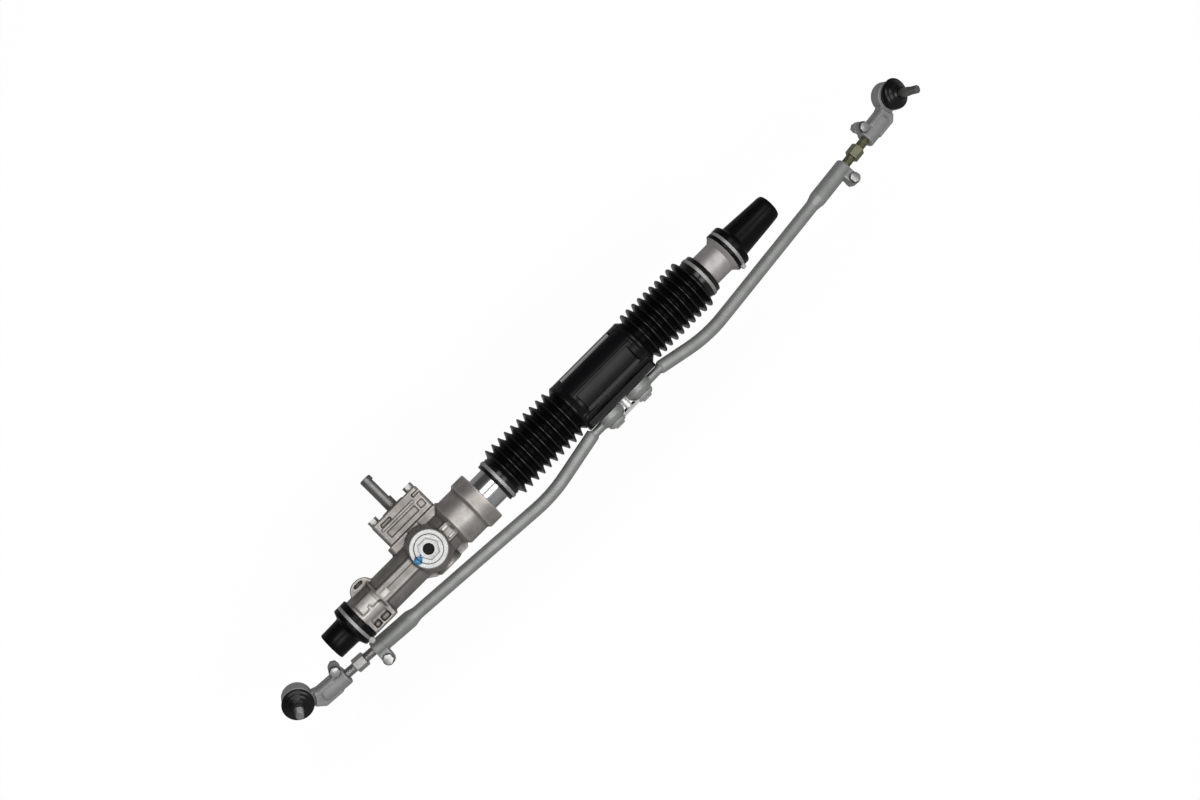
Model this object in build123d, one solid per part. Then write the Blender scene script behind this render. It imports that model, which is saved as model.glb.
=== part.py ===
from build123d import *
from math import acos, cos, degrees, pi, radians, sin, sqrt, tan
import os

# Manual rack and pinion steering gear whose tie rods bolt to the middle of the rack bar.
# X runs along the rack bar, Y along the pinion shaft towards the steering column, Z to the front.
# The origin is the centre of the clamp ring beside the pinion, on the rack bar's axis. Millimetres.

# Clearances: a sliding or turning fit, a pressed or seated fit, and flat faces that only meet
running_gap = 0.05
seat_gap = 0.02
face_gap = 0.1

# Rack bar
rack_radius = 13.0
rack_left_x = -175.0
rack_right_x = 478.0
rack_flat_height = 9.9
tooth_zone_left_x = -170.0
tooth_zone_right_x = 2.0
bolt_flat_depth = 1.5

# Rack and pinion teeth, measured square to the pinion shaft
tooth_count = 7
tooth_module = 1.705
pressure_angle = 24.0
helix_angle = 22.0
profile_shift = 0.45
rack_tooth_share = 0.95
root_clearance = 0.35
flank_backlash = 0.03
pinion_face_width = 30.0

# Pinion housing and yoke
pinion_x = -86.0
yoke_offset = 5.7
yoke_radius = 18.0
yoke_height = 26.5
yoke_float = 0.2
boss_radius = 27.4
boss_height = 36.0
plug_radius = 20.4
plug_height = 6.0
plug_hex_flats = 27.0
plug_hole_radius = 7.5
lock_ring_thickness = 4.0
spring_wire = 2.2
spring_radius = 6.2
spring_turns = 3.0

# Casting along the rack
casting_left_x = -240.0
seat_left_x = -221.0
seat_right_x = -181.0
barrel_left_x = -45.0
ring_half = 10.9
rack_bore_radius = 16.0
seat_radius = 28.0
body_radius = 27.0
barrel_radius = 35.5
ring_radius = 39.3
tube_socket_x = -40.0

# Pinion shaft, its bearings and its cover
shaft_radius = 9.0
seal_land_radius = 9.5
shaft_relief = 0.2
shaft_top_y = 130.6
shaft_flat_depth = 2.2
shaft_flat_bottom_y = 90.0
shaft_flat_top_y = 123.0
seal_land_margin = 2.5
flange_bottom_y = 28.0
flange_top_y = 38.4
gasket_thickness = 0.8
cover_height = 36.3
cover_left_x = -127.0
cover_right_x = -44.0
cover_depth = 46.0
cover_bolt_left_x = -119.0
cover_bolt_right_x = -52.7
bearing_radius = 20.0
bearing_bore_radius = 8.5
bearing_width = 12.0
ball_radius = 3.2
ball_count = 7
needle_outer_radius = 9.7
needle_bore_radius = 6.05
needle_width = 12.0
lower_boss_radius = 19.5
lower_boss_y = -38.0
seal_radius = 15.0
seal_width = 7.0

# Rack tube and the far mount
tube_radius = 25.7
tube_wall = 5.2
tube_end_x = 505.0
tube_step_x = 446.0
tube_step_depth = 2.7
neck_wall = 2.1
flare_left_x = 479.0
flare_right_x = 485.6
flare_height = 4.0
bush_left_x = 372.0
bush_length = 30.0
guide_slot_width = 16.2

# Rubber end caps
cap_seat_radius = 27.0
left_cap_flange_wall = 4.5
left_cap_body_radius = 20.6
left_cap_end_x = -277.2
cap_flange_length = 20.0
cap_wall = 3.5
right_cap_flange_wall = 5.4
right_cap_body_radius = 24.5
right_cap_tip_radius = 18.5
right_cap_end_x = 581.4
band_width = 3.6
band_thickness = 1.2

# Bellows boot, its centre sleeve and the rail plate
boot_left_x = 34.1
boot_right_x = 447.4
collar_wall = 5.9
collar_length = 16.0
valley_height = 5.0
pleat_height = 9.6
bellows_play = 2.7
left_first_crest_x = 56.8
left_last_crest_x = 166.2
right_first_crest_x = 423.5
right_last_crest_x = 321.4
crest_count = 10
sleeve_left_x = 178.5
sleeve_right_x = 308.0
sleeve_radius = 37.7
sleeve_wall = 3.0
sleeve_pad_y = 36.2
pad_half_width = 15.0
rail_half_width = 11.0
rail_thickness = 6.9

# Tie rod joint on the rack bar
left_bolt_x = 214.4
right_bolt_x = 267.3
travel_left = 73.0
travel_right = 67.0
bolt_radius = 6.0
bush_sleeve_radius = 8.5
bush_sleeve_length = 15.8
rubber_radius = 14.5
eye_radius = 18.5
eye_lower_radius = 11.5
lock_plate_thickness = 2.2
bolt_washer_thickness = 1.8
bolt_head_height = 5.0
bolt_head_flats = 17.0
guide_block_margin = 12.4

# Tie rods: distances run outwards from the bolt in the rod's own plane
rod_droop = 6.0
rod_radius = 9.65
left_neck_end = (36.0, -49.0)
left_far_bend = (135.5, -68.4)
left_rod_slope = 4.18
right_neck_end = (42.5, -49.6)
right_far_bend = (123.9, -65.8)
right_rod_slope = 5.6
far_bend_radius = 230.0
neck_height = 9.2
neck_width = 23.0
swelling_start = 247.0
swelling_full = 259.0
rod_end_station = 325.0
rod_end_radius = 12.5
adjuster_radius = 7.0
adjuster_grip = 38.0
adjuster_hex_start = 339.0
adjuster_hex_length = 16.6
adjuster_hex_flats = 19.0
forging_station = 375.3
slit_width = 2.0
pinch_bolt_radius = 4.0
pinch_bolt_offset = 22.0
pinch_bolt_inset = 8.0
pinch_ear_radius = 8.5
pinch_ear_half = 9.0
small_head_flats = 13.0
small_head_height = 5.5

# Outer ends and their ball joints
end_roll = 19.0
end_clamp_radius = 13.8
end_clamp_length = 40.0
end_pinch_offset = 18.0
end_pinch_inset = 7.5
ball_forward = 74.0
left_ball_aside = 18.4
right_ball_aside = 13.8
socket_radius = 21.5
socket_bottom = -16.2
socket_top = 7.0
mouth_radius = 12.6
collar_top = 11.0
boot_collar_radius = 17.5
ball_joint_radius = 13.5
seat_wall = 2.3
plate_thickness = 2.0
stud_neck_radius = 6.5
stud_cone_radius = 7.6
stud_thread_radius = 6.0
stud_cone_start = 21.0
stud_cone_end = 38.0
stud_length = 54.0
right_stud_tilt_out = 18.0
right_stud_tilt_down = 9.0
boot_bulge_radius = 22.4
boot_bulge_height = 15.0
boot_top_radius = 9.6
boot_top_height = 24.0
boot_wall = 1.6
wire_ring_thickness = 1.2

# Worked out from the sizes above
pitch_radius = tooth_module * tooth_count / 2
base_radius = pitch_radius * cos(radians(pressure_angle))
tip_radius = pitch_radius + (0.85 + profile_shift) * tooth_module
root_radius = pitch_radius - (1.25 - profile_shift) * tooth_module
rack_addendum = rack_tooth_share * tooth_module
mesh_distance = pitch_radius + profile_shift * tooth_module
pinion_z = -(rack_flat_height + mesh_distance - rack_addendum)
yoke_x = pinion_x - yoke_offset
cover_bottom_y = flange_top_y + gasket_thickness
cover_top_y = cover_bottom_y + cover_height
bearing_bottom_y = flange_top_y - bearing_width
tube_bore_radius = tube_radius - tube_wall
tube_step_radius = tube_radius - tube_step_depth
neck_radius = tube_step_radius + neck_wall
flare_radius = cap_seat_radius + flare_height
left_cap_flange_radius = cap_seat_radius + left_cap_flange_wall
right_cap_flange_radius = cap_seat_radius + right_cap_flange_wall
collar_radius = tube_radius + collar_wall
valley_radius = tube_radius + valley_height
crest_radius = valley_radius + pleat_height
bellows_bore_radius = tube_radius + bellows_play
seal_land_top_y = cover_top_y + seal_land_margin
rack_face_y = -(rack_radius - bolt_flat_depth)
rail_top_y = -(sleeve_pad_y + face_gap)
rail_bottom_y = rail_top_y - rail_thickness
bush_bottom_y = rail_bottom_y - bush_sleeve_length
lock_plate_bottom_y = bush_bottom_y - lock_plate_thickness
band_centre_inset = cap_flange_length / 2 - 1.3
rail_left_x = sleeve_left_x + 1.5
rail_right_x = sleeve_right_x - 1.5


def bar_x(radius, x0, x1, y=0.0, z=0.0):
    """Round bar along X."""
    bar = Cylinder(radius, x1 - x0, align=(Align.CENTER, Align.CENTER, Align.MIN))
    return Pos(x0, y, z) * Rot(0, 90, 0) * bar


def bar_y(radius, y0, y1, x=0.0, z=0.0):
    """Round bar along Y."""
    bar = Cylinder(radius, y1 - y0, align=(Align.CENTER, Align.CENTER, Align.MIN))
    return Pos(x, y0, z) * Rot(-90, 0, 0) * bar


def bar_z(radius, z0, z1, x=0.0, y=0.0):
    """Round bar along Z."""
    bar = Cylinder(radius, z1 - z0, align=(Align.CENTER, Align.CENTER, Align.MIN))
    return Pos(x, y, z0) * bar


def block(x0, x1, y0, y1, z0, z1):
    """Rectangular block between two corners."""
    centre = Pos((x0 + x1) / 2, (y0 + y1) / 2, (z0 + z1) / 2)
    return centre * Box(x1 - x0, y1 - y0, z1 - z0)


def turned_x(*outline):
    """Turned piece from its (x, radius) outline, about the X axis."""
    return revolve(make_face(Polyline(*outline, close=True)), Axis.X, 360)


def turned_z(*outline):
    """Turned piece from its (radius, z) outline, about the Z axis."""
    points = [(r, 0, z) for r, z in outline]
    return revolve(make_face(Polyline(*points, close=True)), Axis.Z, 360)


def hex_bar_z(flats, z0, z1):
    """Hexagon bar along Z."""
    outline = RegularPolygon(flats / 2, 6, major_radius=False)
    return Pos(0, 0, z0) * extrude(outline, z1 - z0)


def rounded_post_y(x0, x1, z0, z1, y0, y1, corner):
    """Block along Y whose corners are rounded seen from above."""
    outline = RectangleRounded(x1 - x0, z1 - z0, corner)
    return Pos((x0 + x1) / 2, y0, (z0 + z1) / 2) * Rot(-90, 0, 0) * extrude(outline, y1 - y0)


def pinion_outline():
    """One transverse section of the pinion, with a tooth space facing the rack."""
    alpha = radians(pressure_angle)
    start = tan(alpha) - alpha
    pitch_half = (pi / 2 + 2 * profile_shift * tan(alpha)) / tooth_count - flank_backlash / pitch_radius

    def half_angle(radius):
        a = acos(base_radius / radius)
        return pitch_half + start - (tan(a) - a)

    def at(radius, angle):
        return (radius * cos(angle), radius * sin(angle))

    steps = 4
    radii = [base_radius + (tip_radius - base_radius) * i / steps for i in range(steps + 1)]
    base_half = half_angle(base_radius)
    tip_half = half_angle(tip_radius)
    pitch = 2 * pi / tooth_count
    edges = []
    for k in range(tooth_count):
        middle = -pi / 2 + (k + 0.5) * pitch
        rising = [at(r, middle - half_angle(r)) for r in radii]
        falling = [at(r, middle + half_angle(r)) for r in reversed(radii)]
        edges.append(Line(at(root_radius, middle - base_half), rising[0]))
        edges.append(Spline(*rising))
        edges.append(ThreePointArc(rising[-1], at(tip_radius, middle), falling[0]))
        edges.append(Spline(*falling))
        edges.append(Line(falling[-1], at(root_radius, middle + base_half)))
        next_start = middle + pitch - base_half
        edges.append(ThreePointArc(
            at(root_radius, middle + base_half),
            at(root_radius, middle + pitch / 2),
            at(root_radius, next_start),
        ))
    return make_face(edges), tip_half


def pinion_shaft():
    """Input shaft with its helical pinion cut in one piece with it."""
    outline, _ = pinion_outline()
    twist = degrees(pinion_face_width * tan(radians(helix_angle)) / pitch_radius)
    teeth = Solid.extrude_linear_with_rotation(
        Pos(0, 0, -pinion_face_width / 2) * Rot(0, 0, -twist / 2) * outline.face(),
        (0, 0, -pinion_face_width / 2),
        (0, 0, pinion_face_width),
        twist,
    )
    half = pinion_face_width / 2
    journal_bottom = lower_boss_y + 2.5
    shoulder = bearing_bottom_y - 6.0
    groove_bottom = bearing_bottom_y + bearing_width
    top_radius = shaft_radius - shaft_relief
    shaft = turned_z(
        (0, journal_bottom), (5.2, journal_bottom), (6.0, journal_bottom + 0.8),
        (6.0, -half - 5), (5.2, -half - 2), (root_radius, -half), (root_radius, half),
        (7.5, half + 2), (10.5, shoulder), (10.5, bearing_bottom_y),
        (bearing_bore_radius, bearing_bottom_y), (bearing_bore_radius, groove_bottom),
        (7.9, groove_bottom), (7.9, groove_bottom + 1.3), (8.4, groove_bottom + 1.3),
        (8.4, cover_top_y - 12), (seal_land_radius, cover_top_y - 11),
        (seal_land_radius, seal_land_top_y - 0.5), (shaft_radius, seal_land_top_y),
        (shaft_radius, shaft_flat_bottom_y - 0.7), (top_radius, shaft_flat_bottom_y - 0.5),
        (top_radius, shaft_top_y - 1.2), (top_radius - 1.2, shaft_top_y), (0, shaft_top_y),
    )
    flat_middle = (shaft_flat_bottom_y + shaft_flat_top_y) / 2
    flat = Pos(shaft_radius - shaft_flat_depth + 5, 0, flat_middle) * Box(
        10, 30, shaft_flat_top_y - shaft_flat_bottom_y)
    centre_drill = Pos(0, 0, shaft_top_y) * Cone(0.4, 3.0, 5.0, align=(Align.CENTER, Align.CENTER, Align.MAX))
    whole = shaft + teeth - flat - centre_drill
    return Pos(pinion_x, 0, pinion_z) * Rot(-90, 0, 0) * whole


def rack_bar():
    """Rack bar with slanted teeth on its back and two flats for the tie rod bolts."""
    bar = turned_x(
        (rack_left_x, 0), (rack_left_x, rack_radius - 1.5), (rack_left_x + 1.5, rack_radius),
        (rack_right_x - 1.5, rack_radius), (rack_right_x, rack_radius - 1.5), (rack_right_x, 0),
    )
    bar -= block(tooth_zone_left_x, tooth_zone_right_x, -20, 20, -20, -rack_flat_height)
    pitch = pi * tooth_module
    datum = -(rack_flat_height - rack_addendum)
    depth = tip_radius + root_clearance - mesh_distance
    root_z = datum + depth
    mouth_z = -rack_flat_height - 1.0
    slope = tan(radians(pressure_angle))
    half_gap = pitch / 4 + flank_backlash
    root_half = half_gap - slope * depth
    mouth_half = half_gap + slope * (datum - mouth_z)
    lean = tan(radians(helix_angle))
    reach = rack_radius + 1
    cutters = []
    k = 0
    while pinion_x - (k + 0.5) * pitch > tooth_zone_left_x + pitch:
        k += 1
    first = -k
    x = pinion_x + (first + 0.5) * pitch
    while x < tooth_zone_right_x - pitch:
        section = make_face(Polyline(
            (x - mouth_half, 0, mouth_z), (x - root_half, 0, root_z),
            (x + root_half, 0, root_z), (x + mouth_half, 0, mouth_z), close=True,
        ))
        sideways = Pos(-reach * lean, -reach, 0) * section
        cutters.append(extrude(sideways, 2 * reach * sqrt(1 + lean * lean), dir=(lean, 1, 0)))
        x += pitch
    bar -= cutters
    for bolt_x in (left_bolt_x, right_bolt_x):
        bar -= bar_y(bolt_radius + seat_gap, rack_face_y - 5, 8, x=bolt_x)
    bar -= block(left_bolt_x - 14, right_bolt_x + 14, -20, rack_face_y, -20, 20)
    return bar


def casting_outside():
    """Outer form of the aluminium housing: seats, barrel, ring, bosses and ribs."""
    body = turned_x(
        (casting_left_x, 0), (casting_left_x, cap_seat_radius - 1), (casting_left_x + 1, cap_seat_radius),
        (seat_left_x, cap_seat_radius), (seat_left_x, seat_radius), (seat_right_x - 3, seat_radius),
        (seat_right_x - 3, seat_radius + 2), (seat_right_x, seat_radius + 2), (seat_right_x, body_radius),
        (barrel_left_x - 7, body_radius), (barrel_left_x, barrel_radius), (-ring_half - 3, barrel_radius),
        (-ring_half, ring_radius - 0.6), (-ring_half, ring_radius), (ring_half, ring_radius),
        (ring_half, 0),
    )
    body += yoke_boss()
    body += pinion_tower()
    body += seat_details()
    body += front_spine()
    return body


def yoke_boss():
    """Round boss on the front that carries the yoke and its adjuster plug."""
    boss = bar_z(boss_radius, 0, boss_height - 1, x=yoke_x)
    lip = Pos(yoke_x, 0, boss_height - 1) * Cone(
        boss_radius, boss_radius - 1, 1, align=(Align.CENTER, Align.CENTER, Align.MIN))
    foot = Pos(yoke_x, 0, 12) * Cone(
        boss_radius + 7, boss_radius, 15, align=(Align.CENTER, Align.CENTER, Align.MIN))
    return boss + lip + foot


def pinion_tower():
    """Neck, flange and lower boss around the pinion, with the web under them."""
    middle_z = pinion_z
    half = cover_depth / 2
    flange = rounded_post_y(
        cover_left_x - 5.6, cover_right_x + 3.3, middle_z - half - 1, middle_z + half + 1,
        flange_bottom_y, flange_top_y, 8)
    top = Pos((cover_left_x + cover_right_x) / 2, flange_bottom_y, middle_z) * Rot(-90, 0, 0) * \
        RectangleRounded(cover_right_x - cover_left_x - 6, cover_depth - 4, 8)
    foot = Pos(pinion_x, 2, middle_z) * Rot(-90, 0, 0) * RectangleRounded(58, cover_depth - 8, 8)
    neck = loft([foot.face(), top.face()])
    lower = turned_z(
        (0, lower_boss_y), (lower_boss_radius - 1.5, lower_boss_y),
        (lower_boss_radius, lower_boss_y + 1.5), (lower_boss_radius, 4), (0, 4),
    )
    lower = Pos(pinion_x, 0, pinion_z) * Rot(-90, 0, 0) * lower
    web_outline = Polyline(
        (pinion_x - 40, -24), (pinion_x - 24, -35), (pinion_x - 8, -37), (pinion_x - 5, -31),
        (pinion_x - 1, -31), (pinion_x + 2, -37), (pinion_x + 34, -36), (pinion_x + 46, -22), close=True)
    web = Pos(0, 0, pinion_z - 4) * extrude(make_face(web_outline), 8)
    pad = block(pinion_x - 9, pinion_x + 8, flange_bottom_y - 4, flange_top_y - 0.6,
                middle_z + half, middle_z + half + 3)
    return flange + neck + lower + web + pad


def seat_details():
    """Oval boss, raised pads, lower lug and its ribbed pocket at the left end of the casting."""
    oval = Pos((seat_left_x + seat_right_x) / 2 + 7.5, 10, 0) * extrude(
        RectangleRounded(37, 60, 17), 12, both=True)
    oval = oval & block(-400, 0, 10, 40, -12, 12)
    oval -= Pos((seat_left_x + seat_right_x) / 2 + 8, 33.5, 11) * extrude(SlotOverall(14, 4), 5, both=True)
    saddle = bar_x(seat_radius + 3, seat_left_x + 5, seat_right_x - 4)
    saddle = saddle & block(-400, 0, -1, 16, 0, 40)
    saddle -= extrude(Pos(0, 0, 24) * make_face(Polyline(
        (-205, -2), (-198.5, -2), (-202, 9), close=True)), 12)
    lug = block(seat_left_x + 0.5, seat_right_x - 1, -31.2, -4, -13, 25)
    lug = fillet(lug.edges().filter_by(Axis.X).group_by(Axis.Y)[0], 5)
    pocket = block(seat_left_x + 6, seat_right_x - 7, -27, -5, 19, 40)
    middle = (seat_left_x + seat_right_x) / 2
    ribs = block(middle - 3.5, middle - 1, -27, -5, 19, 24)
    ribs += block(seat_left_x + 5, seat_right_x - 6, -18, -15.8, 19, 23.6)
    brace = Pos(middle, -10, 19) * Rot(0, 0, 32) * Box(34, 2.4, 4.4, align=(Align.CENTER, Align.CENTER, Align.MIN))
    brace = brace & pocket
    lug = lug - pocket + ribs + brace
    return oval + saddle + lug


def front_spine():
    """Raised spine with a shallow groove between the left seat and the yoke boss."""
    spine = block(seat_right_x - 1, yoke_x - 20, -10, 11, 10, 29.5)
    spine = chamfer(spine.edges().filter_by(Axis.X).group_by(Axis.Z)[-1], 1.5)
    spine -= block(seat_right_x + 12, yoke_x - 15, 1.4, 3.4, 27, 35)
    spine -= block(seat_right_x + 2, seat_right_x + 12, 3.6, 5.2, 27, 35)
    spine += block(seat_right_x + 1.5, seat_right_x + 11.5, -3, 3, 28, 30.4)
    step = block(yoke_x + 20, barrel_left_x + 2, -13, 10, 10, 29)
    step = chamfer(step.edges().filter_by(Axis.X).group_by(Axis.Z)[-1], 1.5)
    step -= block(yoke_x + 29, barrel_left_x - 2, 1.6, 7.8, 27.4, 35)
    step -= block(yoke_x + 29, barrel_left_x - 2, -11, -6, 27.4, 35)
    return spine + step


def rack_housing():
    """The whole casting with its bores."""
    body = casting_outside()
    body -= bar_x(rack_bore_radius, casting_left_x - 1, tube_socket_x)
    body -= bar_x(tube_radius + seat_gap, tube_socket_x, ring_half + 1)
    body -= bar_z(yoke_radius + running_gap, 1.5, boss_height, x=yoke_x)
    body -= bar_z(plug_radius + seat_gap, yoke_height + yoke_float, boss_height + 1, x=yoke_x)
    body -= bar_y(tip_radius + 1.0, -pinion_face_width / 2 - 3, flange_top_y, x=pinion_x, z=pinion_z)
    body -= bar_y(11.0, pinion_face_width / 2 + 1, flange_top_y, x=pinion_x, z=pinion_z)
    body -= bar_y(bearing_radius + seat_gap, bearing_bottom_y - face_gap, flange_top_y + 1,
                  x=pinion_x, z=pinion_z)
    body -= bar_y(needle_outer_radius + seat_gap, lower_boss_y + 2, -pinion_face_width / 2 - 3,
                  x=pinion_x, z=pinion_z)
    for bolt_x in (cover_bolt_left_x, cover_bolt_right_x):
        body -= bar_y(pinch_bolt_radius + seat_gap, flange_bottom_y - 10, flange_top_y + 1,
                      x=bolt_x, z=pinion_z)
    return body


def housing_tube():
    """Steel tube pressed into the casting, slotted along its lower side for the tie rod bolts."""
    tube = turned_x(
        (tube_socket_x + face_gap, tube_bore_radius), (tube_socket_x + face_gap, tube_radius),
        (tube_step_x, tube_radius), (tube_step_x, tube_step_radius), (tube_end_x, tube_step_radius),
        (tube_end_x, tube_bore_radius),
    )
    slot_left = left_bolt_x - guide_block_margin - travel_left - 1.5
    slot_right = right_bolt_x + guide_block_margin + travel_right + 1.5
    slot = extrude(SlotOverall(slot_right - slot_left + guide_slot_width, guide_slot_width), 10, both=True)
    return tube - Pos((slot_left + slot_right) / 2, -tube_radius, 0) * Rot(90, 0, 0) * slot


def end_mount_sleeve():
    """Aluminium sleeve on the tube's far end: clamp neck, flare and seat for the rubber cap."""
    bore = tube_step_radius + seat_gap
    return turned_x(
        (tube_step_x + face_gap, bore), (tube_step_x + face_gap, neck_radius),
        (flare_left_x, neck_radius), (flare_right_x, flare_radius), (flare_right_x, cap_seat_radius),
        (tube_end_x, cap_seat_radius), (tube_end_x, bore),
    )


def rack_bush():
    """Plastic bush that carries the far end of the rack bar."""
    outer = tube_bore_radius - seat_gap
    inner = rack_radius + running_gap
    return bar_x(outer, bush_left_x, bush_left_x + bush_length) - bar_x(
        inner, bush_left_x - 1, bush_left_x + bush_length + 1)


def left_end_cap():
    """Rubber cap over the casting's open left end."""
    mouth = seat_left_x - face_gap
    root = mouth - cap_flange_length
    inner = cap_seat_radius + seat_gap
    groove = root + band_centre_inset
    body = left_cap_body_radius
    return turned_x(
        (left_cap_end_x, 0), (left_cap_end_x, body - 3), (left_cap_end_x + 3, body),
        (root - 4, body + 1), (root, left_cap_flange_radius - 1), (root + 1, left_cap_flange_radius),
        (groove - band_width / 2, left_cap_flange_radius), (groove - band_width / 2, left_cap_flange_radius - 1.5),
        (groove + band_width / 2, left_cap_flange_radius - 1.5), (groove + band_width / 2, left_cap_flange_radius),
        (mouth, left_cap_flange_radius), (mouth, inner), (casting_left_x - face_gap, inner),
        (casting_left_x - face_gap, body - cap_wall), (left_cap_end_x + cap_wall, body - cap_wall),
        (left_cap_end_x + cap_wall, 0),
    )


def right_end_cap():
    """Long rubber cap over the tube's far end, where the rack bar comes out at full travel."""
    mouth = flare_right_x + face_gap
    root = mouth + cap_flange_length
    inner = cap_seat_radius + seat_gap
    groove = root - band_centre_inset
    return turned_x(
        (mouth, inner), (mouth, right_cap_flange_radius), (groove - band_width / 2, right_cap_flange_radius),
        (groove - band_width / 2, right_cap_flange_radius - 1.5),
        (groove + band_width / 2, right_cap_flange_radius - 1.5),
        (groove + band_width / 2, right_cap_flange_radius), (root - 1, right_cap_flange_radius),
        (root, right_cap_flange_radius - 1), (root + 3.5, right_cap_body_radius),
        (right_cap_end_x - 8.5, right_cap_tip_radius), (right_cap_end_x, right_cap_tip_radius - 1.5),
        (right_cap_end_x, 0), (right_cap_end_x - cap_wall, 0),
        (right_cap_end_x - cap_wall, right_cap_tip_radius - 1.5 - cap_wall),
        (root + 3.5, right_cap_body_radius - cap_wall), (tube_end_x + face_gap, right_cap_body_radius - cap_wall),
        (tube_end_x + face_gap, inner),
    )


def band_clamp(x, inner_radius):
    """Steel band with its screw housing, the screw seen from the front."""
    outer = inner_radius + band_thickness
    band = bar_x(outer, x - band_width / 2 + 0.3, x + band_width / 2 - 0.3)
    band -= bar_x(inner_radius + seat_gap, x - band_width, x + band_width)
    screw = bar_z(2.9, 0, 7, x=x, y=0)
    middle = inner_radius + 2.8
    screw = Pos(0, -0.926 * middle, 0.378 * middle) * screw
    screw -= bar_x(inner_radius + 0.3, x - band_width, x + band_width)
    screw -= bar_x(inner_radius + 1.55, x - 5, x - band_width / 2 + 0.35)
    screw -= bar_x(inner_radius + 1.55, x + band_width / 2 - 0.35, x + 5)
    return band + screw


def bellows(x_collar, x_collar_end, first_crest, last_crest, x_sleeve):
    """Half of the boot: a collar on the tube and ten pleats up to the centre sleeve."""
    direction = 1 if x_sleeve > x_collar else -1
    half_pitch = (last_crest - first_crest) / (2 * (crest_count - 1))
    sleeve_end = x_sleeve - direction * face_gap
    lip_radius = sleeve_radius - 0.6
    outline = [(x_collar, tube_radius + seat_gap), (x_collar, collar_radius), (x_collar_end, collar_radius)]
    for k in range(crest_count):
        crest = first_crest + 2 * k * half_pitch
        outline.append((crest - half_pitch, valley_radius))
        outline.append((crest, crest_radius))
    outline.append((last_crest + half_pitch, valley_radius))
    outline.append((sleeve_end - direction * 0.5, lip_radius))
    outline.append((sleeve_end, lip_radius))
    outline.append((sleeve_end, bellows_bore_radius))
    outline.append((x_collar_end, bellows_bore_radius))
    outline.append((x_collar_end, tube_radius + seat_gap))
    return turned_x(*outline)


def left_bellows():
    return bellows(
        boot_left_x, boot_left_x + collar_length, left_first_crest_x, left_last_crest_x, sleeve_left_x)


def right_bellows():
    return bellows(
        boot_right_x, boot_right_x - collar_length, right_first_crest_x, right_last_crest_x, sleeve_right_x)


def boot_clamps():
    """Bands around the two outer collars of the boot."""
    bands = []
    for x in (boot_left_x + 6, boot_right_x - 6):
        outer = collar_radius + band_thickness
        band = bar_x(outer, x - band_width / 2, x + band_width / 2)
        band -= bar_x(collar_radius + seat_gap, x - band_width, x + band_width)
        pinch = block(x - 1.5, x + 1.5, outer - 0.8, outer + 2.6, -4, 4)
        bands.append(band + pinch)
    return Compound(children=bands)


def centre_sleeve():
    """Stiff middle of the boot, carried along by the rack, with a flat pad for the rail."""
    shell = bar_x(sleeve_radius, sleeve_left_x, sleeve_right_x)
    pad = block(sleeve_left_x + 1.5, sleeve_right_x - 1.5, -sleeve_pad_y, -sleeve_radius + 9,
                -pad_half_width, pad_half_width)
    shell = shell - block(sleeve_left_x - 1, sleeve_right_x + 1, -sleeve_radius - 1, -sleeve_pad_y, -40, 40)
    hollow = bar_x(sleeve_radius - sleeve_wall, sleeve_left_x + 3, sleeve_right_x - 3)
    shell = shell - hollow + pad
    shell -= bar_x(bellows_bore_radius, sleeve_left_x - 1, sleeve_right_x + 1)
    window_left = left_bolt_x - guide_block_margin - seat_gap
    window_right = right_bolt_x + guide_block_margin + seat_gap
    half = guide_slot_width / 2
    shell -= block(window_left, window_right, -sleeve_radius - 1, 0, -half, half)
    panel_left = sleeve_left_x + 19.5
    panel_right = sleeve_right_x - 13
    shell -= block(panel_left, panel_right, -21, 4.6, sleeve_radius * 0.8, sleeve_radius + 1) & (
        bar_x(sleeve_radius + 1, panel_left, panel_right) - bar_x(sleeve_radius - 1.2, panel_left, panel_right))
    for y0, y1 in ((7.4, 8.6), (32, 34)):
        rib = bar_x(sleeve_radius + 0.6, sleeve_left_x + 4, sleeve_right_x - 4)
        rib -= bar_x(sleeve_radius - 1, sleeve_left_x, sleeve_right_x)
        shell += rib & block(sleeve_left_x, sleeve_right_x, y0, y1, 0, 40)
    return shell


def guide_block():
    """Block that fills the tube's slot, holds the rack bar upright and carries both bolts."""
    half = guide_slot_width / 2 - running_gap
    left = left_bolt_x - guide_block_margin
    right = right_bolt_x + guide_block_margin
    body = block(left, right, -sleeve_pad_y, rack_face_y - seat_gap, -half, half)
    body = fillet(body.edges().filter_by(Axis.Y), 3)
    for x in (left_bolt_x, right_bolt_x):
        body -= bar_y(bolt_radius + seat_gap, -60, 0, x=x)
    return body


def rail_plate():
    """Plate under the boot that the tie rods bear on."""
    rail = block(rail_left_x, rail_right_x, rail_bottom_y, rail_top_y, -rail_half_width, rail_half_width)
    rail = fillet(rail.edges().filter_by(Axis.Y), 4)
    for x in (left_bolt_x, right_bolt_x):
        rail -= bar_y(bolt_radius + seat_gap, -60, 0, x=x)
    return rail


def bush_sleeves():
    """Steel sleeves inside the rubber bushes, clamped by the bolts."""
    sleeves = []
    for x in (left_bolt_x, right_bolt_x):
        sleeve = bar_y(bush_sleeve_radius, bush_bottom_y + seat_gap, rail_bottom_y - seat_gap, x=x)
        sleeves.append(sleeve - bar_y(bolt_radius + seat_gap, -80, 0, x=x))
    return Compound(children=sleeves)


def spacer():
    """Plated distance piece between the rail and the lock plate."""
    x = (left_bolt_x + right_bolt_x) / 2
    body = bar_y(4.2, bush_bottom_y + seat_gap, rail_bottom_y - seat_gap, x=x)
    body += bar_y(5.2, bush_bottom_y + 5, bush_bottom_y + 8, x=x)
    return body


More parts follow.
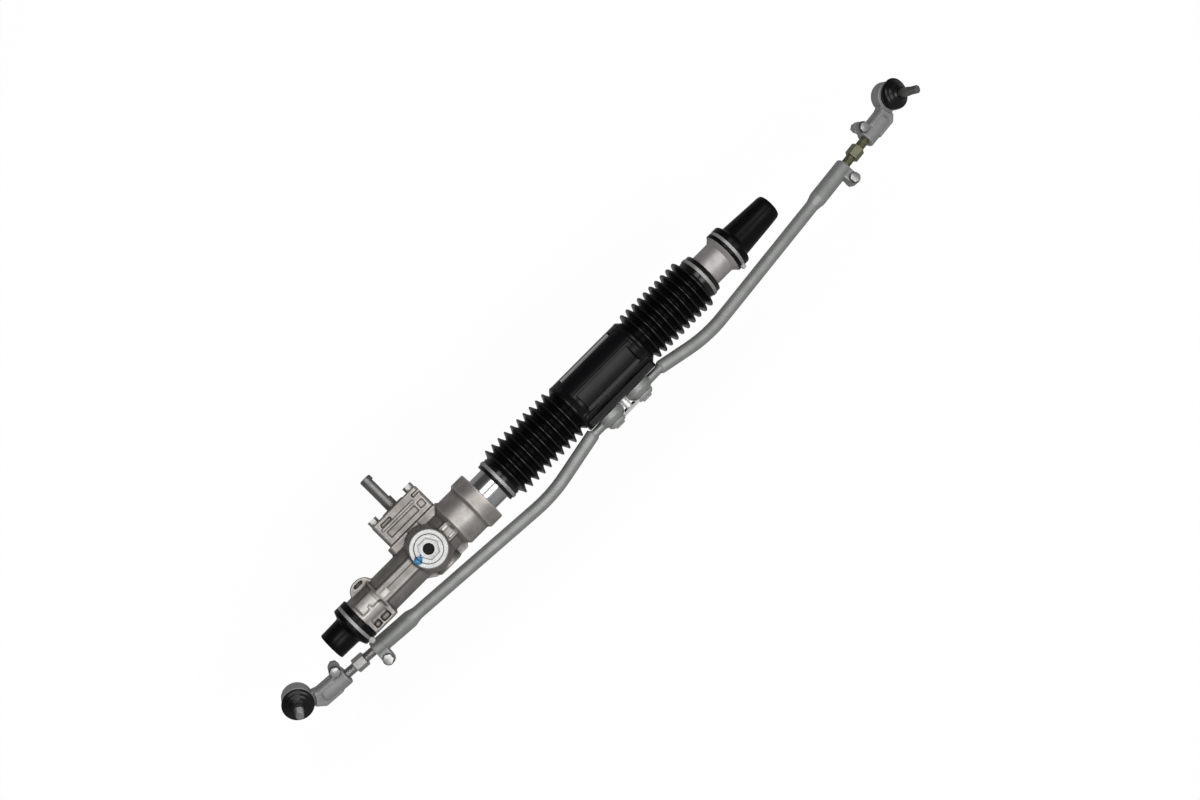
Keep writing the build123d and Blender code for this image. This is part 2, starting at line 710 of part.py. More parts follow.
def lock_plate():
    """Plate under both bolt heads that keeps them from turning."""
    x = (left_bolt_x + right_bolt_x) / 2
    length = right_bolt_x - left_bolt_x + 20
    plate = rounded_post_y(x - length / 2, x + length / 2, -9, 9, lock_plate_bottom_y, bush_bottom_y, 8)
    for bolt_x in (left_bolt_x, right_bolt_x):
        plate -= bar_y(bolt_radius + seat_gap, -80, 0, x=bolt_x)
    return plate


def rod_bolts():
    """The two bolts that hold the tie rods to the rack bar."""
    bolts = []
    for x in (left_bolt_x, right_bolt_x):
        washer_top = lock_plate_bottom_y - seat_gap
        head_top = washer_top - bolt_washer_thickness
        head = hex_bar_z(bolt_head_flats, 0, bolt_head_height)
        head = Pos(x, head_top - bolt_head_height, 0) * Rot(-90, 0, 0) * head
        washer = bar_y(bolt_head_flats / 2 + 1, head_top, washer_top, x=x)
        shank = bar_y(bolt_radius, head_top, 7.5, x=x)
        bolts.append(head + washer + shank)
    return Compound(children=bolts)


def rod_frame(far_bend, slope):
    """Frame on the rod's straight outer run: local X points outwards from the far bend."""
    return Location((far_bend[0], far_bend[1], 0), (0, 0, slope))


def tie_rod(neck_end, far_bend, slope, rail_reach):
    """Bent tie rod with its eye at the rack and a split, swollen end for the adjuster."""
    frame = rod_frame(far_bend, slope)
    straight_end = frame * Pos(swelling_start + 1, 0, 0)
    path = FilletPolyline(
        neck_end, far_bend, (straight_end.position.X, straight_end.position.Y), radius=far_bend_radius)
    start = Plane(origin=path @ 0, x_dir=(0, 0, 1), z_dir=path % 0)
    rod = sweep(start * Circle(rod_radius), path=path)
    eye_top = rail_bottom_y - 0.8
    eye_bottom = bush_bottom_y + 0.6
    neck_y = eye_top - 0.3 - neck_height / 2
    flat = Ellipse(neck_width / 2, neck_height / 2)
    inner = Plane(origin=(rubber_radius + 1, neck_y, 0), x_dir=(0, 0, 1), z_dir=(1, 0, 0))
    outer = Plane(origin=(rail_reach - 14, neck_y, 0), x_dir=(0, 0, 1), z_dir=(1, 0, 0))
    buried = start * Pos(0, 0, 3) * Circle(rod_radius - 0.1)
    rod += loft([(inner * flat).face(), (outer * flat).face(), buried.face()])
    rod -= bar_y(rail_reach, eye_top, 0)
    swelling = turned_x(
        (swelling_start, 0), (swelling_start, rod_radius), (swelling_full, rod_end_radius),
        (rod_end_station - 1, rod_end_radius), (rod_end_station, rod_end_radius - 1), (rod_end_station, 0),
    )
    pinch_x = rod_end_station - pinch_bolt_inset
    ear = bar_z(pinch_ear_radius, -pinch_ear_half, pinch_ear_half, x=pinch_x, y=-pinch_bolt_offset)
    ear += block(pinch_x - pinch_ear_radius, pinch_x + pinch_ear_radius - 0.5, -pinch_bolt_offset, -4,
                 -pinch_ear_half, pinch_ear_half)
    end = swelling + ear
    end -= bar_x(adjuster_radius + seat_gap, rod_end_station - adjuster_grip - 8, rod_end_station + 1)
    end -= block(rod_end_station - adjuster_grip, rod_end_station + 1, -40, 0, -slit_width / 2, slit_width / 2)
    end -= bar_z(pinch_bolt_radius + seat_gap, -20, 20, x=pinch_x, y=-pinch_bolt_offset)
    eye = turned_z(
        (0, eye_bottom), (eye_lower_radius, eye_bottom), (eye_radius, eye_bottom + 6.5),
        (eye_radius, eye_top - 1), (eye_radius - 1, eye_top), (0, eye_top),
    )
    eye = Rot(-90, 0, 0) * eye
    whole = rod + frame * end + eye
    whole -= bar_y(rubber_radius + seat_gap, eye_bottom + 4, eye_top + 1)
    whole -= bar_y(bush_sleeve_radius + 0.6, eye_bottom - 1, eye_top)
    return whole


def rod_bush():
    """Rubber bush pressed into the eye, free to twist about the steel sleeve."""
    top = rail_bottom_y - 0.3
    bottom = bush_bottom_y + 4.6 + face_gap
    return bar_y(rubber_radius, bottom, top) - bar_y(bush_sleeve_radius + running_gap, bottom - 1, top + 1)


def pinch_bolt(x, y):
    """Small bolt and nut that close a split clamp, the bolt head to the front."""
    head = Pos(x, y, pinch_ear_half + seat_gap) * hex_bar_z(small_head_flats, 1.6, small_head_height)
    washer = bar_z(small_head_flats / 2 + 0.6, pinch_ear_half + seat_gap, pinch_ear_half + 1.7, x=x, y=y)
    shank = bar_z(pinch_bolt_radius, -pinch_ear_half - 8, pinch_ear_half + 1, x=x, y=y)
    nut = Pos(x, y, 0) * hex_bar_z(small_head_flats, -pinch_ear_half - 6.5, -pinch_ear_half - seat_gap)
    nut -= bar_z(pinch_bolt_radius + seat_gap, -30, 0, x=x, y=y)
    return Compound(children=[head + washer + shank, nut])


def rod_pinch_bolt(far_bend, slope):
    return rod_frame(far_bend, slope) * pinch_bolt(rod_end_station - pinch_bolt_inset, -pinch_bolt_offset)


def adjuster(far_bend, slope):
    """Threaded stud between the rod and its outer end, with a hexagon in its middle."""
    stud = bar_x(adjuster_radius, rod_end_station - adjuster_grip, forging_station + adjuster_grip - 8)
    flats = hex_bar_z(adjuster_hex_flats, 0, adjuster_hex_length)
    flats = Pos(adjuster_hex_start, 0, 0) * Rot(0, 90, 0) * flats
    corner = turned_x(
        (adjuster_hex_start, 0), (adjuster_hex_start, adjuster_hex_flats / 2),
        (adjuster_hex_start + 1.5, adjuster_hex_flats / 2 + 2),
        (adjuster_hex_start + adjuster_hex_length - 1.5, adjuster_hex_flats / 2 + 2),
        (adjuster_hex_start + adjuster_hex_length, adjuster_hex_flats / 2),
        (adjuster_hex_start + adjuster_hex_length, 0),
    )
    return rod_frame(far_bend, slope) * (stud + (flats & corner))


def end_frame(far_bend, slope):
    """Frame of an outer end: origin at its inner face, rolled about the rod so that its front leans."""
    return rod_frame(far_bend, slope) * Pos(forging_station, 0, 0) * Rot(end_roll, 0, 0)


def end_forging(far_bend, slope, aside):
    """Forged outer end: split clamp, neck and the socket of the ball joint."""
    clamp = turned_x(
        (0, 0), (0, end_clamp_radius - 1), (1, end_clamp_radius),
        (end_clamp_length, end_clamp_radius), (end_clamp_length + 6, end_clamp_radius - 3),
        (end_clamp_length + 6, 0),
    )
    neck_outline = Polyline(
        (17, -end_clamp_radius + 0.5), (48, -end_clamp_radius + 0.5), (66, 2), (ball_forward, aside),
        (56, 17), (44, end_clamp_radius - 0.5), (17, end_clamp_radius - 0.5), close=True)
    neck = extrude(make_face(neck_outline), 11.5, both=True)
    neck = chamfer(neck.edges().filter_by(Plane.XY), 2.5)
    neck -= bar_z(socket_radius + 4, socket_top - 0.5, 20, x=ball_forward, y=aside)
    ear = bar_z(pinch_ear_radius, -pinch_ear_half, pinch_ear_half, x=end_pinch_inset, y=end_pinch_offset)
    ear += block(end_pinch_inset - 7, end_pinch_inset + pinch_ear_radius, 3, end_pinch_offset,
                 -pinch_ear_half, pinch_ear_half)
    socket = turned_z(
        (0, socket_bottom), (socket_radius - 2, socket_bottom), (socket_radius, socket_bottom + 2),
        (socket_radius, socket_top - 1), (socket_radius - 1, socket_top), (boot_collar_radius, socket_top),
        (boot_collar_radius, collar_top), (0, collar_top),
    )
    socket = Pos(ball_forward, aside, 0) * socket
    whole = clamp + neck + ear + socket
    whole -= bar_x(adjuster_radius + running_gap, -1, adjuster_grip)
    whole -= block(-1, adjuster_grip, 0, 40, -slit_width / 2, slit_width / 2)
    whole -= bar_z(pinch_bolt_radius + seat_gap, -20, 20, x=end_pinch_inset, y=end_pinch_offset)
    seat_outer = ball_joint_radius + seat_wall + seat_gap
    mouth = turned_z(
        (0, socket_bottom - 1), (seat_outer, socket_bottom - 1), (seat_outer, socket_top - 2),
        (mouth_radius, socket_top - 2), (mouth_radius, socket_top - 0.5), (15.6, collar_top + 1),
        (0, collar_top + 1),
    )
    whole -= Pos(ball_forward, aside, 0) * mouth
    return end_frame(far_bend, slope) * whole


def end_pinch_bolt(far_bend, slope):
    return end_frame(far_bend, slope) * pinch_bolt(end_pinch_inset, end_pinch_offset)


def ball_frame(far_bend, slope, aside):
    """Frame of the ball joint: origin at the ball's centre, local Z out of the socket."""
    return end_frame(far_bend, slope) * Pos(ball_forward, aside, 0)


def ball_seat(far_bend, slope, aside):
    """Plastic seat around the ball."""
    outer = ball_joint_radius + seat_wall
    body = bar_z(outer, socket_bottom + plate_thickness + face_gap, socket_top - 2 - face_gap)
    body -= Sphere(ball_joint_radius + running_gap)
    return ball_frame(far_bend, slope, aside) * body


def closing_plate(far_bend, slope, aside):
    """Steel plate that closes the back of the socket."""
    plate = bar_z(ball_joint_radius + seat_wall, socket_bottom, socket_bottom + plate_thickness)
    plate += bar_z(6, socket_bottom - 1.2, socket_bottom)
    return ball_frame(far_bend, slope, aside) * plate


def boot_base_ring(far_bend, slope, aside):
    """Wire ring that holds the dust boot on the socket's collar."""
    inner = boot_collar_radius + seat_gap + boot_wall + seat_gap
    ring = bar_z(inner + wire_ring_thickness, socket_top + 0.8, socket_top + 2.6)
    ring -= bar_z(inner, socket_top, socket_top + 4)
    return ball_frame(far_bend, slope, aside) * ring


def stud_frame(far_bend, slope, aside, tilt_out, tilt_down):
    """Frame of the ball stud, tilted in its socket as it lies at rest."""
    return ball_frame(far_bend, slope, aside) * Rot(0, tilt_out, 0) * Rot(tilt_down, 0, 0)


def dust_boot(far_bend, slope, aside, tilt_out, tilt_down):
    """Rubber dust boot from the socket's collar up to the ball stud."""
    inner_base = boot_collar_radius + seat_gap
    ball_to_stud = Rot(0, tilt_out, 0) * Rot(tilt_down, 0, 0)
    half_tilt = Rot(0, tilt_out / 2, 0) * Rot(tilt_down / 2, 0, 0)

    def shell(extra):
        return loft([
            (Pos(0, 0, socket_top + 3) * Circle(inner_base + extra)).face(),
            (half_tilt * Pos(0, 0, boot_bulge_height) * Circle(boot_bulge_radius - boot_wall + extra)).face(),
            (ball_to_stud * Pos(0, 0, boot_top_height) * Circle(boot_top_radius - boot_wall + extra)).face(),
        ])

    skirt = bar_z(inner_base + boot_wall, socket_top + face_gap, socket_top + 3)
    skirt -= bar_z(inner_base, socket_top - 1, socket_top + 4)
    boot = shell(boot_wall) - shell(0) + skirt
    return ball_frame(far_bend, slope, aside) * boot


def boot_top_ring(far_bend, slope, aside, tilt_out, tilt_down):
    """Ring that closes the dust boot on the stud."""
    ring = bar_z(boot_top_radius + 0.4, boot_top_height + seat_gap, boot_top_height + 2)
    ring -= bar_z(stud_cone_radius + running_gap, boot_top_height - 1, boot_top_height + 3)
    return stud_frame(far_bend, slope, aside, tilt_out, tilt_down) * ring


def ball_stud(far_bend, slope, aside, tilt_out, tilt_down):
    """Ball, tapered seat and threaded end in one piece."""
    stem = turned_z(
        (0, 0), (stud_neck_radius, 0), (stud_neck_radius, stud_cone_start - 3),
        (stud_cone_radius, stud_cone_start), (stud_thread_radius + 0.5, stud_cone_end),
        (stud_thread_radius, stud_cone_end + 0.5), (stud_thread_radius, stud_length - 1),
        (stud_thread_radius - 1, stud_length), (0, stud_length),
    )
    return stud_frame(far_bend, slope, aside, tilt_out, tilt_down) * (Sphere(ball_joint_radius) + stem)


def set_on_rack(shape, bolt_x, side):
    """Put a piece of a tie rod in place: drooped, mirrored for the left side, at its bolt."""
    placed = Rot(0, rod_droop, 0) * shape
    if side < 0:
        placed = mirror(placed, about=Plane.YZ)
    return Pos(bolt_x, 0, 0) * placed


def pinion_cover():
    """Cover over the upper bearing, with pockets cast into its face and top."""
    half = cover_depth / 2
    front = pinion_z + half
    body = rounded_post_y(cover_left_x, cover_right_x, pinion_z - half, front,
                          cover_bottom_y, cover_top_y, 6)
    body = chamfer(body.edges().group_by(Axis.Y)[-1], 2)
    panel = block(cover_left_x + 11, cover_right_x - 20, cover_bottom_y + 7, cover_bottom_y + 17, front - 1.6, 40)
    side_panel = block(cover_right_x - 16, cover_right_x - 6, cover_bottom_y + 7, cover_bottom_y + 17,
                       front - 1.6, 40)
    top_pocket = block(cover_left_x + 11, pinion_x - 12, cover_bottom_y + 25, cover_bottom_y + 30,
                       front - 5, 40)
    end_pocket = block(cover_right_x - 14, cover_right_x + 1, cover_bottom_y + 25, cover_bottom_y + 30,
                       front - 5, 40)
    lip = block(cover_left_x + 8, cover_right_x - 17, cover_bottom_y + 21, cover_bottom_y + 23.5,
                front - 1, front + 1)
    body = body - panel - side_panel - top_pocket - end_pocket + lip
    nose = bar_y(seal_radius + 3.5, cover_top_y - 3, cover_top_y + 1.5, x=pinion_x, z=pinion_z)
    body += nose
    body -= bar_y(seal_radius + seat_gap, cover_top_y + 1.5 - seal_width - face_gap, cover_top_y + 3,
                  x=pinion_x, z=pinion_z)
    body -= bar_y(13.0, cover_bottom_y - 1, cover_top_y, x=pinion_x, z=pinion_z)
    for bolt_x in (cover_bolt_left_x, cover_bolt_right_x):
        body -= bar_y(pinch_bolt_radius + 0.3, cover_bottom_y - 1, cover_top_y + 1, x=bolt_x, z=pinion_z)
    return body


def cover_gasket():
    """Thin gasket between the cover and the casting."""
    half = cover_depth / 2
    sheet = rounded_post_y(cover_left_x, cover_right_x, pinion_z - half, pinion_z + half,
                           flange_top_y + seat_gap, cover_bottom_y - seat_gap, 6)
    sheet -= bar_y(bearing_radius - 2, 0, 60, x=pinion_x, z=pinion_z)
    for bolt_x in (cover_bolt_left_x, cover_bolt_right_x):
        sheet -= bar_y(pinch_bolt_radius + 0.3, 0, 60, x=bolt_x, z=pinion_z)
    return sheet


def cover_bolts():
    """Flanged hexagon bolts that hold the cover."""
    bolts = []
    for x in (cover_bolt_left_x, cover_bolt_right_x):
        head = hex_bar_z(small_head_flats, 1.6, 8.0)
        head = Pos(x, cover_top_y + seat_gap, pinion_z) * Rot(-90, 0, 0) * head
        washer = bar_y(small_head_flats / 2 + 1, cover_top_y + seat_gap, cover_top_y + 1.7, x=x, z=pinion_z)
        shank = bar_y(pinch_bolt_radius, flange_bottom_y - 9, cover_top_y + 1, x=x, z=pinion_z)
        bolts.append(head + washer + shank)
    return Compound(children=bolts)


def pinion_seal():
    """Rubber lip seal around the shaft."""
    top = cover_top_y + 1.5
    ring = turned_z(
        (seal_land_radius + running_gap, top - 3), (seal_land_radius + 1.2, top - 1), (seal_radius, top - 1),
        (seal_radius, top - seal_width), (seal_land_radius + 3, top - seal_width),
        (seal_land_radius + 3, top - 4), (seal_land_radius + running_gap, top - 4),
    )
    return Pos(pinion_x, 0, pinion_z) * Rot(-90, 0, 0) * ring


def bearing_ring(inner, outer):
    """One race of the upper ball bearing with its ball groove."""
    middle = bearing_bottom_y + bearing_width / 2
    track = (bearing_radius + bearing_bore_radius) / 2
    section = Pos((inner + outer) / 2, middle) * Rectangle(outer - inner, bearing_width - seat_gap)
    section -= Pos(track, middle) * Circle(ball_radius + running_gap)
    ring = revolve(section, Axis.Y, 360)
    return Pos(pinion_x, 0, pinion_z) * ring


def bearing_outer_race():
    track = (bearing_radius + bearing_bore_radius) / 2
    return bearing_ring(track + 1.9, bearing_radius)


def bearing_inner_race():
    track = (bearing_radius + bearing_bore_radius) / 2
    return bearing_ring(bearing_bore_radius + seat_gap, track - 1.9)


def bearing_balls():
    """Balls of the upper bearing, which roll between its races."""
    track = (bearing_radius + bearing_bore_radius) / 2
    middle = bearing_bottom_y + bearing_width / 2
    balls = []
    for k in range(ball_count):
        angle = 2 * pi * k / ball_count
        place = Pos(pinion_x + track * cos(angle), middle, pinion_z + track * sin(angle))
        balls.append(place * Sphere(ball_radius))
    return Compound(children=balls)


def shaft_circlip():
    """Circlip that holds the bearing on the shaft."""
    bottom = bearing_bottom_y + bearing_width + 0.05
    ring = bar_y(11.0, bottom, bottom + 1.15, x=pinion_x, z=pinion_z)
    ring -= bar_y(7.95, bottom - 1, bottom + 3, x=pinion_x, z=pinion_z)
    gap = block(pinion_x - 2.2, pinion_x + 2.2, bottom - 1, bottom + 3, pinion_z, pinion_z + 20)
    return ring - gap


def needle_bearing():
    """Drawn needle bearing at the foot of the pinion."""
    bottom = lower_boss_y + 2 + face_gap
    ring = bar_y(needle_outer_radius, bottom, bottom + needle_width, x=pinion_x, z=pinion_z)
    return ring - bar_y(needle_bore_radius, bottom - 1, bottom + needle_width + 1, x=pinion_x, z=pinion_z)


def yoke():
    """Yoke that presses the rack bar onto the pinion, hollowed for its spring."""
    body = bar_z(yoke_radius, 3, yoke_height, x=yoke_x)
    body -= bar_x(rack_radius + running_gap, yoke_x - 30, yoke_x + 30)
    body -= bar_z(spring_radius + spring_wire / 2 + 0.8, rack_radius + 4.5, yoke_height + 1, x=yoke_x)
    return body


def yoke_spring():
    """Coil spring between the yoke and the plug."""
    bottom = rack_radius + 4.5 + spring_wire / 2 + face_gap
    top = yoke_height + yoke_float - spring_wire / 2 - face_gap
    pitch = (top - bottom) / spring_turns
    path = Helix(pitch, top - bottom, spring_radius)
    section = Plane(origin=path @ 0, z_dir=path % 0) * RegularPolygon(spring_wire / 2, 8)
    return Pos(yoke_x, 0, bottom) * sweep(section, path=path)


def adjuster_plug():
    """Screwed plug that sets the yoke, with a hexagon recess."""
    bottom = yoke_height + yoke_float + seat_gap
    top = boss_height + plug_height
    body = bar_z(plug_radius, bottom, top - 1, x=yoke_x)
    body += Pos(yoke_x, 0, top - 1) * Cone(plug_radius, plug_radius - 1, 1,
                                           align=(Align.CENTER, Align.CENTER, Align.MIN))
    body -= Pos(yoke_x, 0, 0) * hex_bar_z(plug_hex_flats, top - 7, top + 1)
    body -= bar_z(plug_hole_radius, bottom + 3, top, x=yoke_x)
    return body


def plug_lock_ring():
    """Ring nut that locks the plug."""
    outline = (
        (plug_radius + seat_gap, boss_height + seat_gap), (boss_radius, boss_height + seat_gap),
        (boss_radius, boss_height + lock_ring_thickness - 1.5),
        (boss_radius - 1.5, boss_height + lock_ring_thickness),
        (plug_radius + seat_gap, boss_height + lock_ring_thickness),
    )
    return Pos(yoke_x, 0, 0) * turned_z(*outline)


def left_cap_clamp():
    x = seat_left_x - face_gap - cap_flange_length + band_centre_inset
    return band_clamp(x, left_cap_flange_radius - 1.5)


def right_cap_clamp():
    x = flare_right_x + face_gap + cap_flange_length - band_centre_inset
    return band_clamp(x, right_cap_flange_radius - 1.5)


def side_pieces(side):
    """Every piece of one tie rod, by node name."""
    name = "left" if side < 0 else "right"
    neck_end = left_neck_end if side < 0 else right_neck_end
    rail_end = left_bolt_x - rail_left_x if side < 0 else rail_right_x - right_bolt_x
    rail_reach = sqrt(rail_end ** 2 + rail_half_width ** 2) + 0.6
    far = left_far_bend if side < 0 else right_far_bend
    slope = left_rod_slope if side < 0 else right_rod_slope
    aside = left_ball_aside if side < 0 else right_ball_aside
    out = 0.0 if side < 0 else right_stud_tilt_out
    down = 0.0 if side < 0 else right_stud_tilt_down
    bolt_x = left_bolt_x if side < 0 else right_bolt_x
    pieces = {
        "tie_rod": tie_rod(neck_end, far, slope, rail_reach),
        "rod_bush": rod_bush(),
        "rod_pinch_bolt": rod_pinch_bolt(far, slope),
        "adjuster": adjuster(far, slope),
        "end_forging": end_forging(far, slope, aside),
        "end_pinch_bolt": end_pinch_bolt(far, slope),
        "ball_seat": ball_seat(far, slope, aside),
        "closing_plate": closing_plate(far, slope, aside),
        "boot_base_ring": boot_base_ring(far, slope, aside),
        "dust_boot": dust_boot(far, slope, aside, out, down),
        "boot_top_ring": boot_top_ring(far, slope, aside, out, down),
        "ball_stud": ball_stud(far, slope, aside, out, down),
    }
    return {f"{name}_{piece}": set_on_rack(shape, bolt_x, side) for piece, shape in pieces.items()}


def all_nodes():
    nodes = {
        "rack_housing": rack_housing(),
        "housing_tube": housing_tube(),
        "end_mount_sleeve": end_mount_sleeve(),
        "rack_bush": rack_bush(),
        "left_end_cap": left_end_cap(),
        "left_cap_clamp": left_cap_clamp(),
        "right_end_cap": right_end_cap(),
        "right_cap_clamp": right_cap_clamp(),
        "boot_clamps": boot_clamps(),
        "left_bellows": left_bellows(),
        "right_bellows": right_bellows(),
        "pinion_cover": pinion_cover(),
        "cover_gasket": cover_gasket(),
        "cover_bolts": cover_bolts(),
        "pinion_seal": pinion_seal(),
        "bearing_outer_race": bearing_outer_race(),
        "needle_bearing": needle_bearing(),
        "yoke": yoke(),
        "yoke_spring": yoke_spring(),
        "adjuster_plug": adjuster_plug(),
        "plug_lock_ring": plug_lock_ring(),
        "pinion_shaft": pinion_shaft(),
        "bearing_inner_race": bearing_inner_race(),
        "shaft_circlip": shaft_circlip(),
        "bearing_balls": bearing_balls(),
        "rack_bar": rack_bar(),
        "centre_sleeve": centre_sleeve(),
        "guide_block": guide_block(),
        "rail_plate": rail_plate(),
        "bush_sleeves": bush_sleeves(),
        "spacer": spacer(),
        "lock_plate": lock_plate(),
        "rod_bolts": rod_bolts(),
    }
    nodes.update(side_pieces(-1))
    nodes.update(side_pieces(1))
    return nodes


os.makedirs("parts", exist_ok=True)
for node_name, solid in all_nodes().items():
    export_step(solid, f"parts/{node_name}.step")
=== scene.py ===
from math import atan2, cos, degrees, pi, radians, sin

import bmesh
import bpy
from mathutils import Matrix, Vector


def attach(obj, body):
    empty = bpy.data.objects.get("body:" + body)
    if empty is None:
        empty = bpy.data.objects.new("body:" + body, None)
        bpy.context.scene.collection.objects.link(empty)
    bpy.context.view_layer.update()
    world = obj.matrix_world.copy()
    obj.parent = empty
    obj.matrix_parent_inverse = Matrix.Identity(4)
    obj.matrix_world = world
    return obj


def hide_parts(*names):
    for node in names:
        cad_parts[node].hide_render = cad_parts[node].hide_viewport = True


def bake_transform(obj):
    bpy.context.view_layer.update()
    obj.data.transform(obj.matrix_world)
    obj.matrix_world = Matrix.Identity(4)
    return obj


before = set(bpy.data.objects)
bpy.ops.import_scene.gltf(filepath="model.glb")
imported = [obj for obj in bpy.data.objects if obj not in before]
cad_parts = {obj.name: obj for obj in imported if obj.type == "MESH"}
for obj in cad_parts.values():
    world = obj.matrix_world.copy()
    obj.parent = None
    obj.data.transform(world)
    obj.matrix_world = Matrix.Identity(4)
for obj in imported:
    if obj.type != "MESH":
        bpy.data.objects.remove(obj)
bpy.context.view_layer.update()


# Camera, lamps and floor. The camera looks down on the front of the gear from 2.6 m. A long softbox on
# either side gives the bright double line along every polished cylinder, and the floor is a white sheet,
# low enough for the tie rods to hang down to their stops above it.
eye = Vector((-0.0742, -0.0224, 2.5668))
aim = Vector((0.2182, -0.0224, 0.0))
forward = (aim - eye).normalized()
level_right = Vector((-forward.z, 0, forward.x))
level_up = level_right.cross(forward)
roll = radians(45.2)
picture_right = cos(roll) * level_right - sin(roll) * level_up
picture_up = sin(roll) * level_right + cos(roll) * level_up
camera_data = bpy.data.cameras.new("camera")
camera_data.sensor_width = 36.0
camera_data.lens = 56.16
camera_data.clip_start = 0.05
camera_data.clip_end = 50.0
camera = bpy.data.objects.new("camera", camera_data)
camera.matrix_world = Matrix((
    (picture_right.x, picture_up.x, -forward.x, eye.x),
    (picture_right.y, picture_up.y, -forward.y, eye.y),
    (picture_right.z, picture_up.z, -forward.z, eye.z),
    (0, 0, 0, 1),
))
bpy.context.scene.collection.objects.link(camera)
bpy.context.scene.camera = camera
bpy.context.scene.view_settings.view_transform = "Standard"


def softbox(name, place, target, length, width, watts):
    """Long rectangular lamp whose length runs along X."""
    lamp = bpy.data.lights.new(name, "AREA")
    lamp.shape = "RECTANGLE"
    lamp.size, lamp.size_y, lamp.energy = length, width, watts
    box = bpy.data.objects.new(name, lamp)
    down = (Vector(target) - Vector(place)).normalized()
    side = Vector((1, 0, 0))
    up = (-down).cross(side).normalized()
    side = up.cross(-down)
    box.matrix_world = Matrix((
        (side.x, up.x, -down.x, place[0]), (side.y, up.y, -down.y, place[1]),
        (side.z, up.z, -down.z, place[2]), (0, 0, 0, 1),
    ))
    bpy.context.scene.collection.objects.link(box)


softbox("softbox_lower", (0.25, -0.86, 2.35), (0.25, 0, 0), 2.8, 1.05, 31)
softbox("softbox_upper", (0.25, 0.72, 2.40), (0.25, 0, 0), 2.8, 1.05, 31)


def reckon(tree, operation, *values):
    """Math node whose inputs are numbers or the outputs of other nodes."""
    sum_node = tree.nodes.new("ShaderNodeMath")
    sum_node.operation = operation
    for socket, value in zip(sum_node.inputs, values):
        if isinstance(value, (int, float)):
            socket.default_value = value
        else:
            tree.links.new(value, socket)
    return sum_node.outputs[0]


def scaled(tree, value, start, end, low, high, smooth=False):
    """Output that goes from low to high while the value goes from start to end."""
    slope = tree.nodes.new("ShaderNodeMapRange")
    slope.interpolation_type = "SMOOTHSTEP" if smooth else "LINEAR"
    for label, number in (("From Min", start), ("From Max", end), ("To Min", low), ("To Max", high)):
        slope.inputs[label].default_value = number
    tree.links.new(value, slope.inputs["Value"])
    return slope.outputs[0]


world = bpy.data.worlds.new("studio")
world.use_nodes = True
bpy.context.scene.world = world
sky = world.node_tree
sky.nodes.clear()
direction = sky.nodes.new("ShaderNodeTexCoord")
split = sky.nodes.new("ShaderNodeSeparateXYZ")
rays = sky.nodes.new("ShaderNodeLightPath")
seen = sky.nodes.new("ShaderNodeMix")
seen.data_type = "FLOAT"
seen.inputs[3].default_value = 1.0
backdrop = sky.nodes.new("ShaderNodeBackground")
sky_out = sky.nodes.new("ShaderNodeOutputWorld")
sky.links.new(direction.outputs["Generated"], split.inputs[0])
sky.links.new(rays.outputs["Is Camera Ray"], seen.inputs[0])
sky.links.new(scaled(sky, split.outputs["Y"], -0.55, 0.55, 0.50, 0.12), seen.inputs[2])
sky.links.new(seen.outputs[0], backdrop.inputs["Strength"])
sky.links.new(backdrop.outputs[0], sky_out.inputs[0])

floor_level, floor_half_width = -0.31, 4.0
floor_mesh = bmesh.new()
bmesh.ops.create_grid(floor_mesh, x_segments=1, y_segments=1, size=floor_half_width)
bmesh.ops.translate(floor_mesh, vec=(0.2, 0, floor_level), verts=floor_mesh.verts)
floor_data = bpy.data.meshes.new("floor")
floor_mesh.to_mesh(floor_data)
floor_mesh.free()
floor = bpy.data.objects.new("floor", floor_data)
bpy.context.scene.collection.objects.link(floor)
sheet = bpy.data.materials.new("white_sheet")
sheet.use_nodes = True
weave = sheet.node_tree
weave.nodes.clear()
matt = weave.nodes.new("ShaderNodeBsdfDiffuse")
matt.inputs["Color"].default_value = (0.86, 0.86, 0.86, 1)
glow = weave.nodes.new("ShaderNodeEmission")
path = weave.nodes.new("ShaderNodeLightPath")
blend_in = weave.nodes.new("ShaderNodeMixShader")
out = weave.nodes.new("ShaderNodeOutputMaterial")
seen_straight = path.outputs["Is Camera Ray"]
seen_in_gloss = reckon(weave, "MAXIMUM", path.outputs["Is Glossy Ray"], path.outputs["Is Transmission Ray"])
weave.links.new(scaled(weave, seen_straight, 0, 1, 0.32, 1.03), glow.inputs["Strength"])
weave.links.new(reckon(weave, "MULTIPLY_ADD", seen_straight, 0.9, seen_in_gloss), blend_in.inputs[0])
weave.links.new(matt.outputs[0], blend_in.inputs[1])
weave.links.new(glow.outputs[0], blend_in.inputs[2])
weave.links.new(blend_in.outputs[0], out.inputs[0])
floor_data.materials.append(sheet)


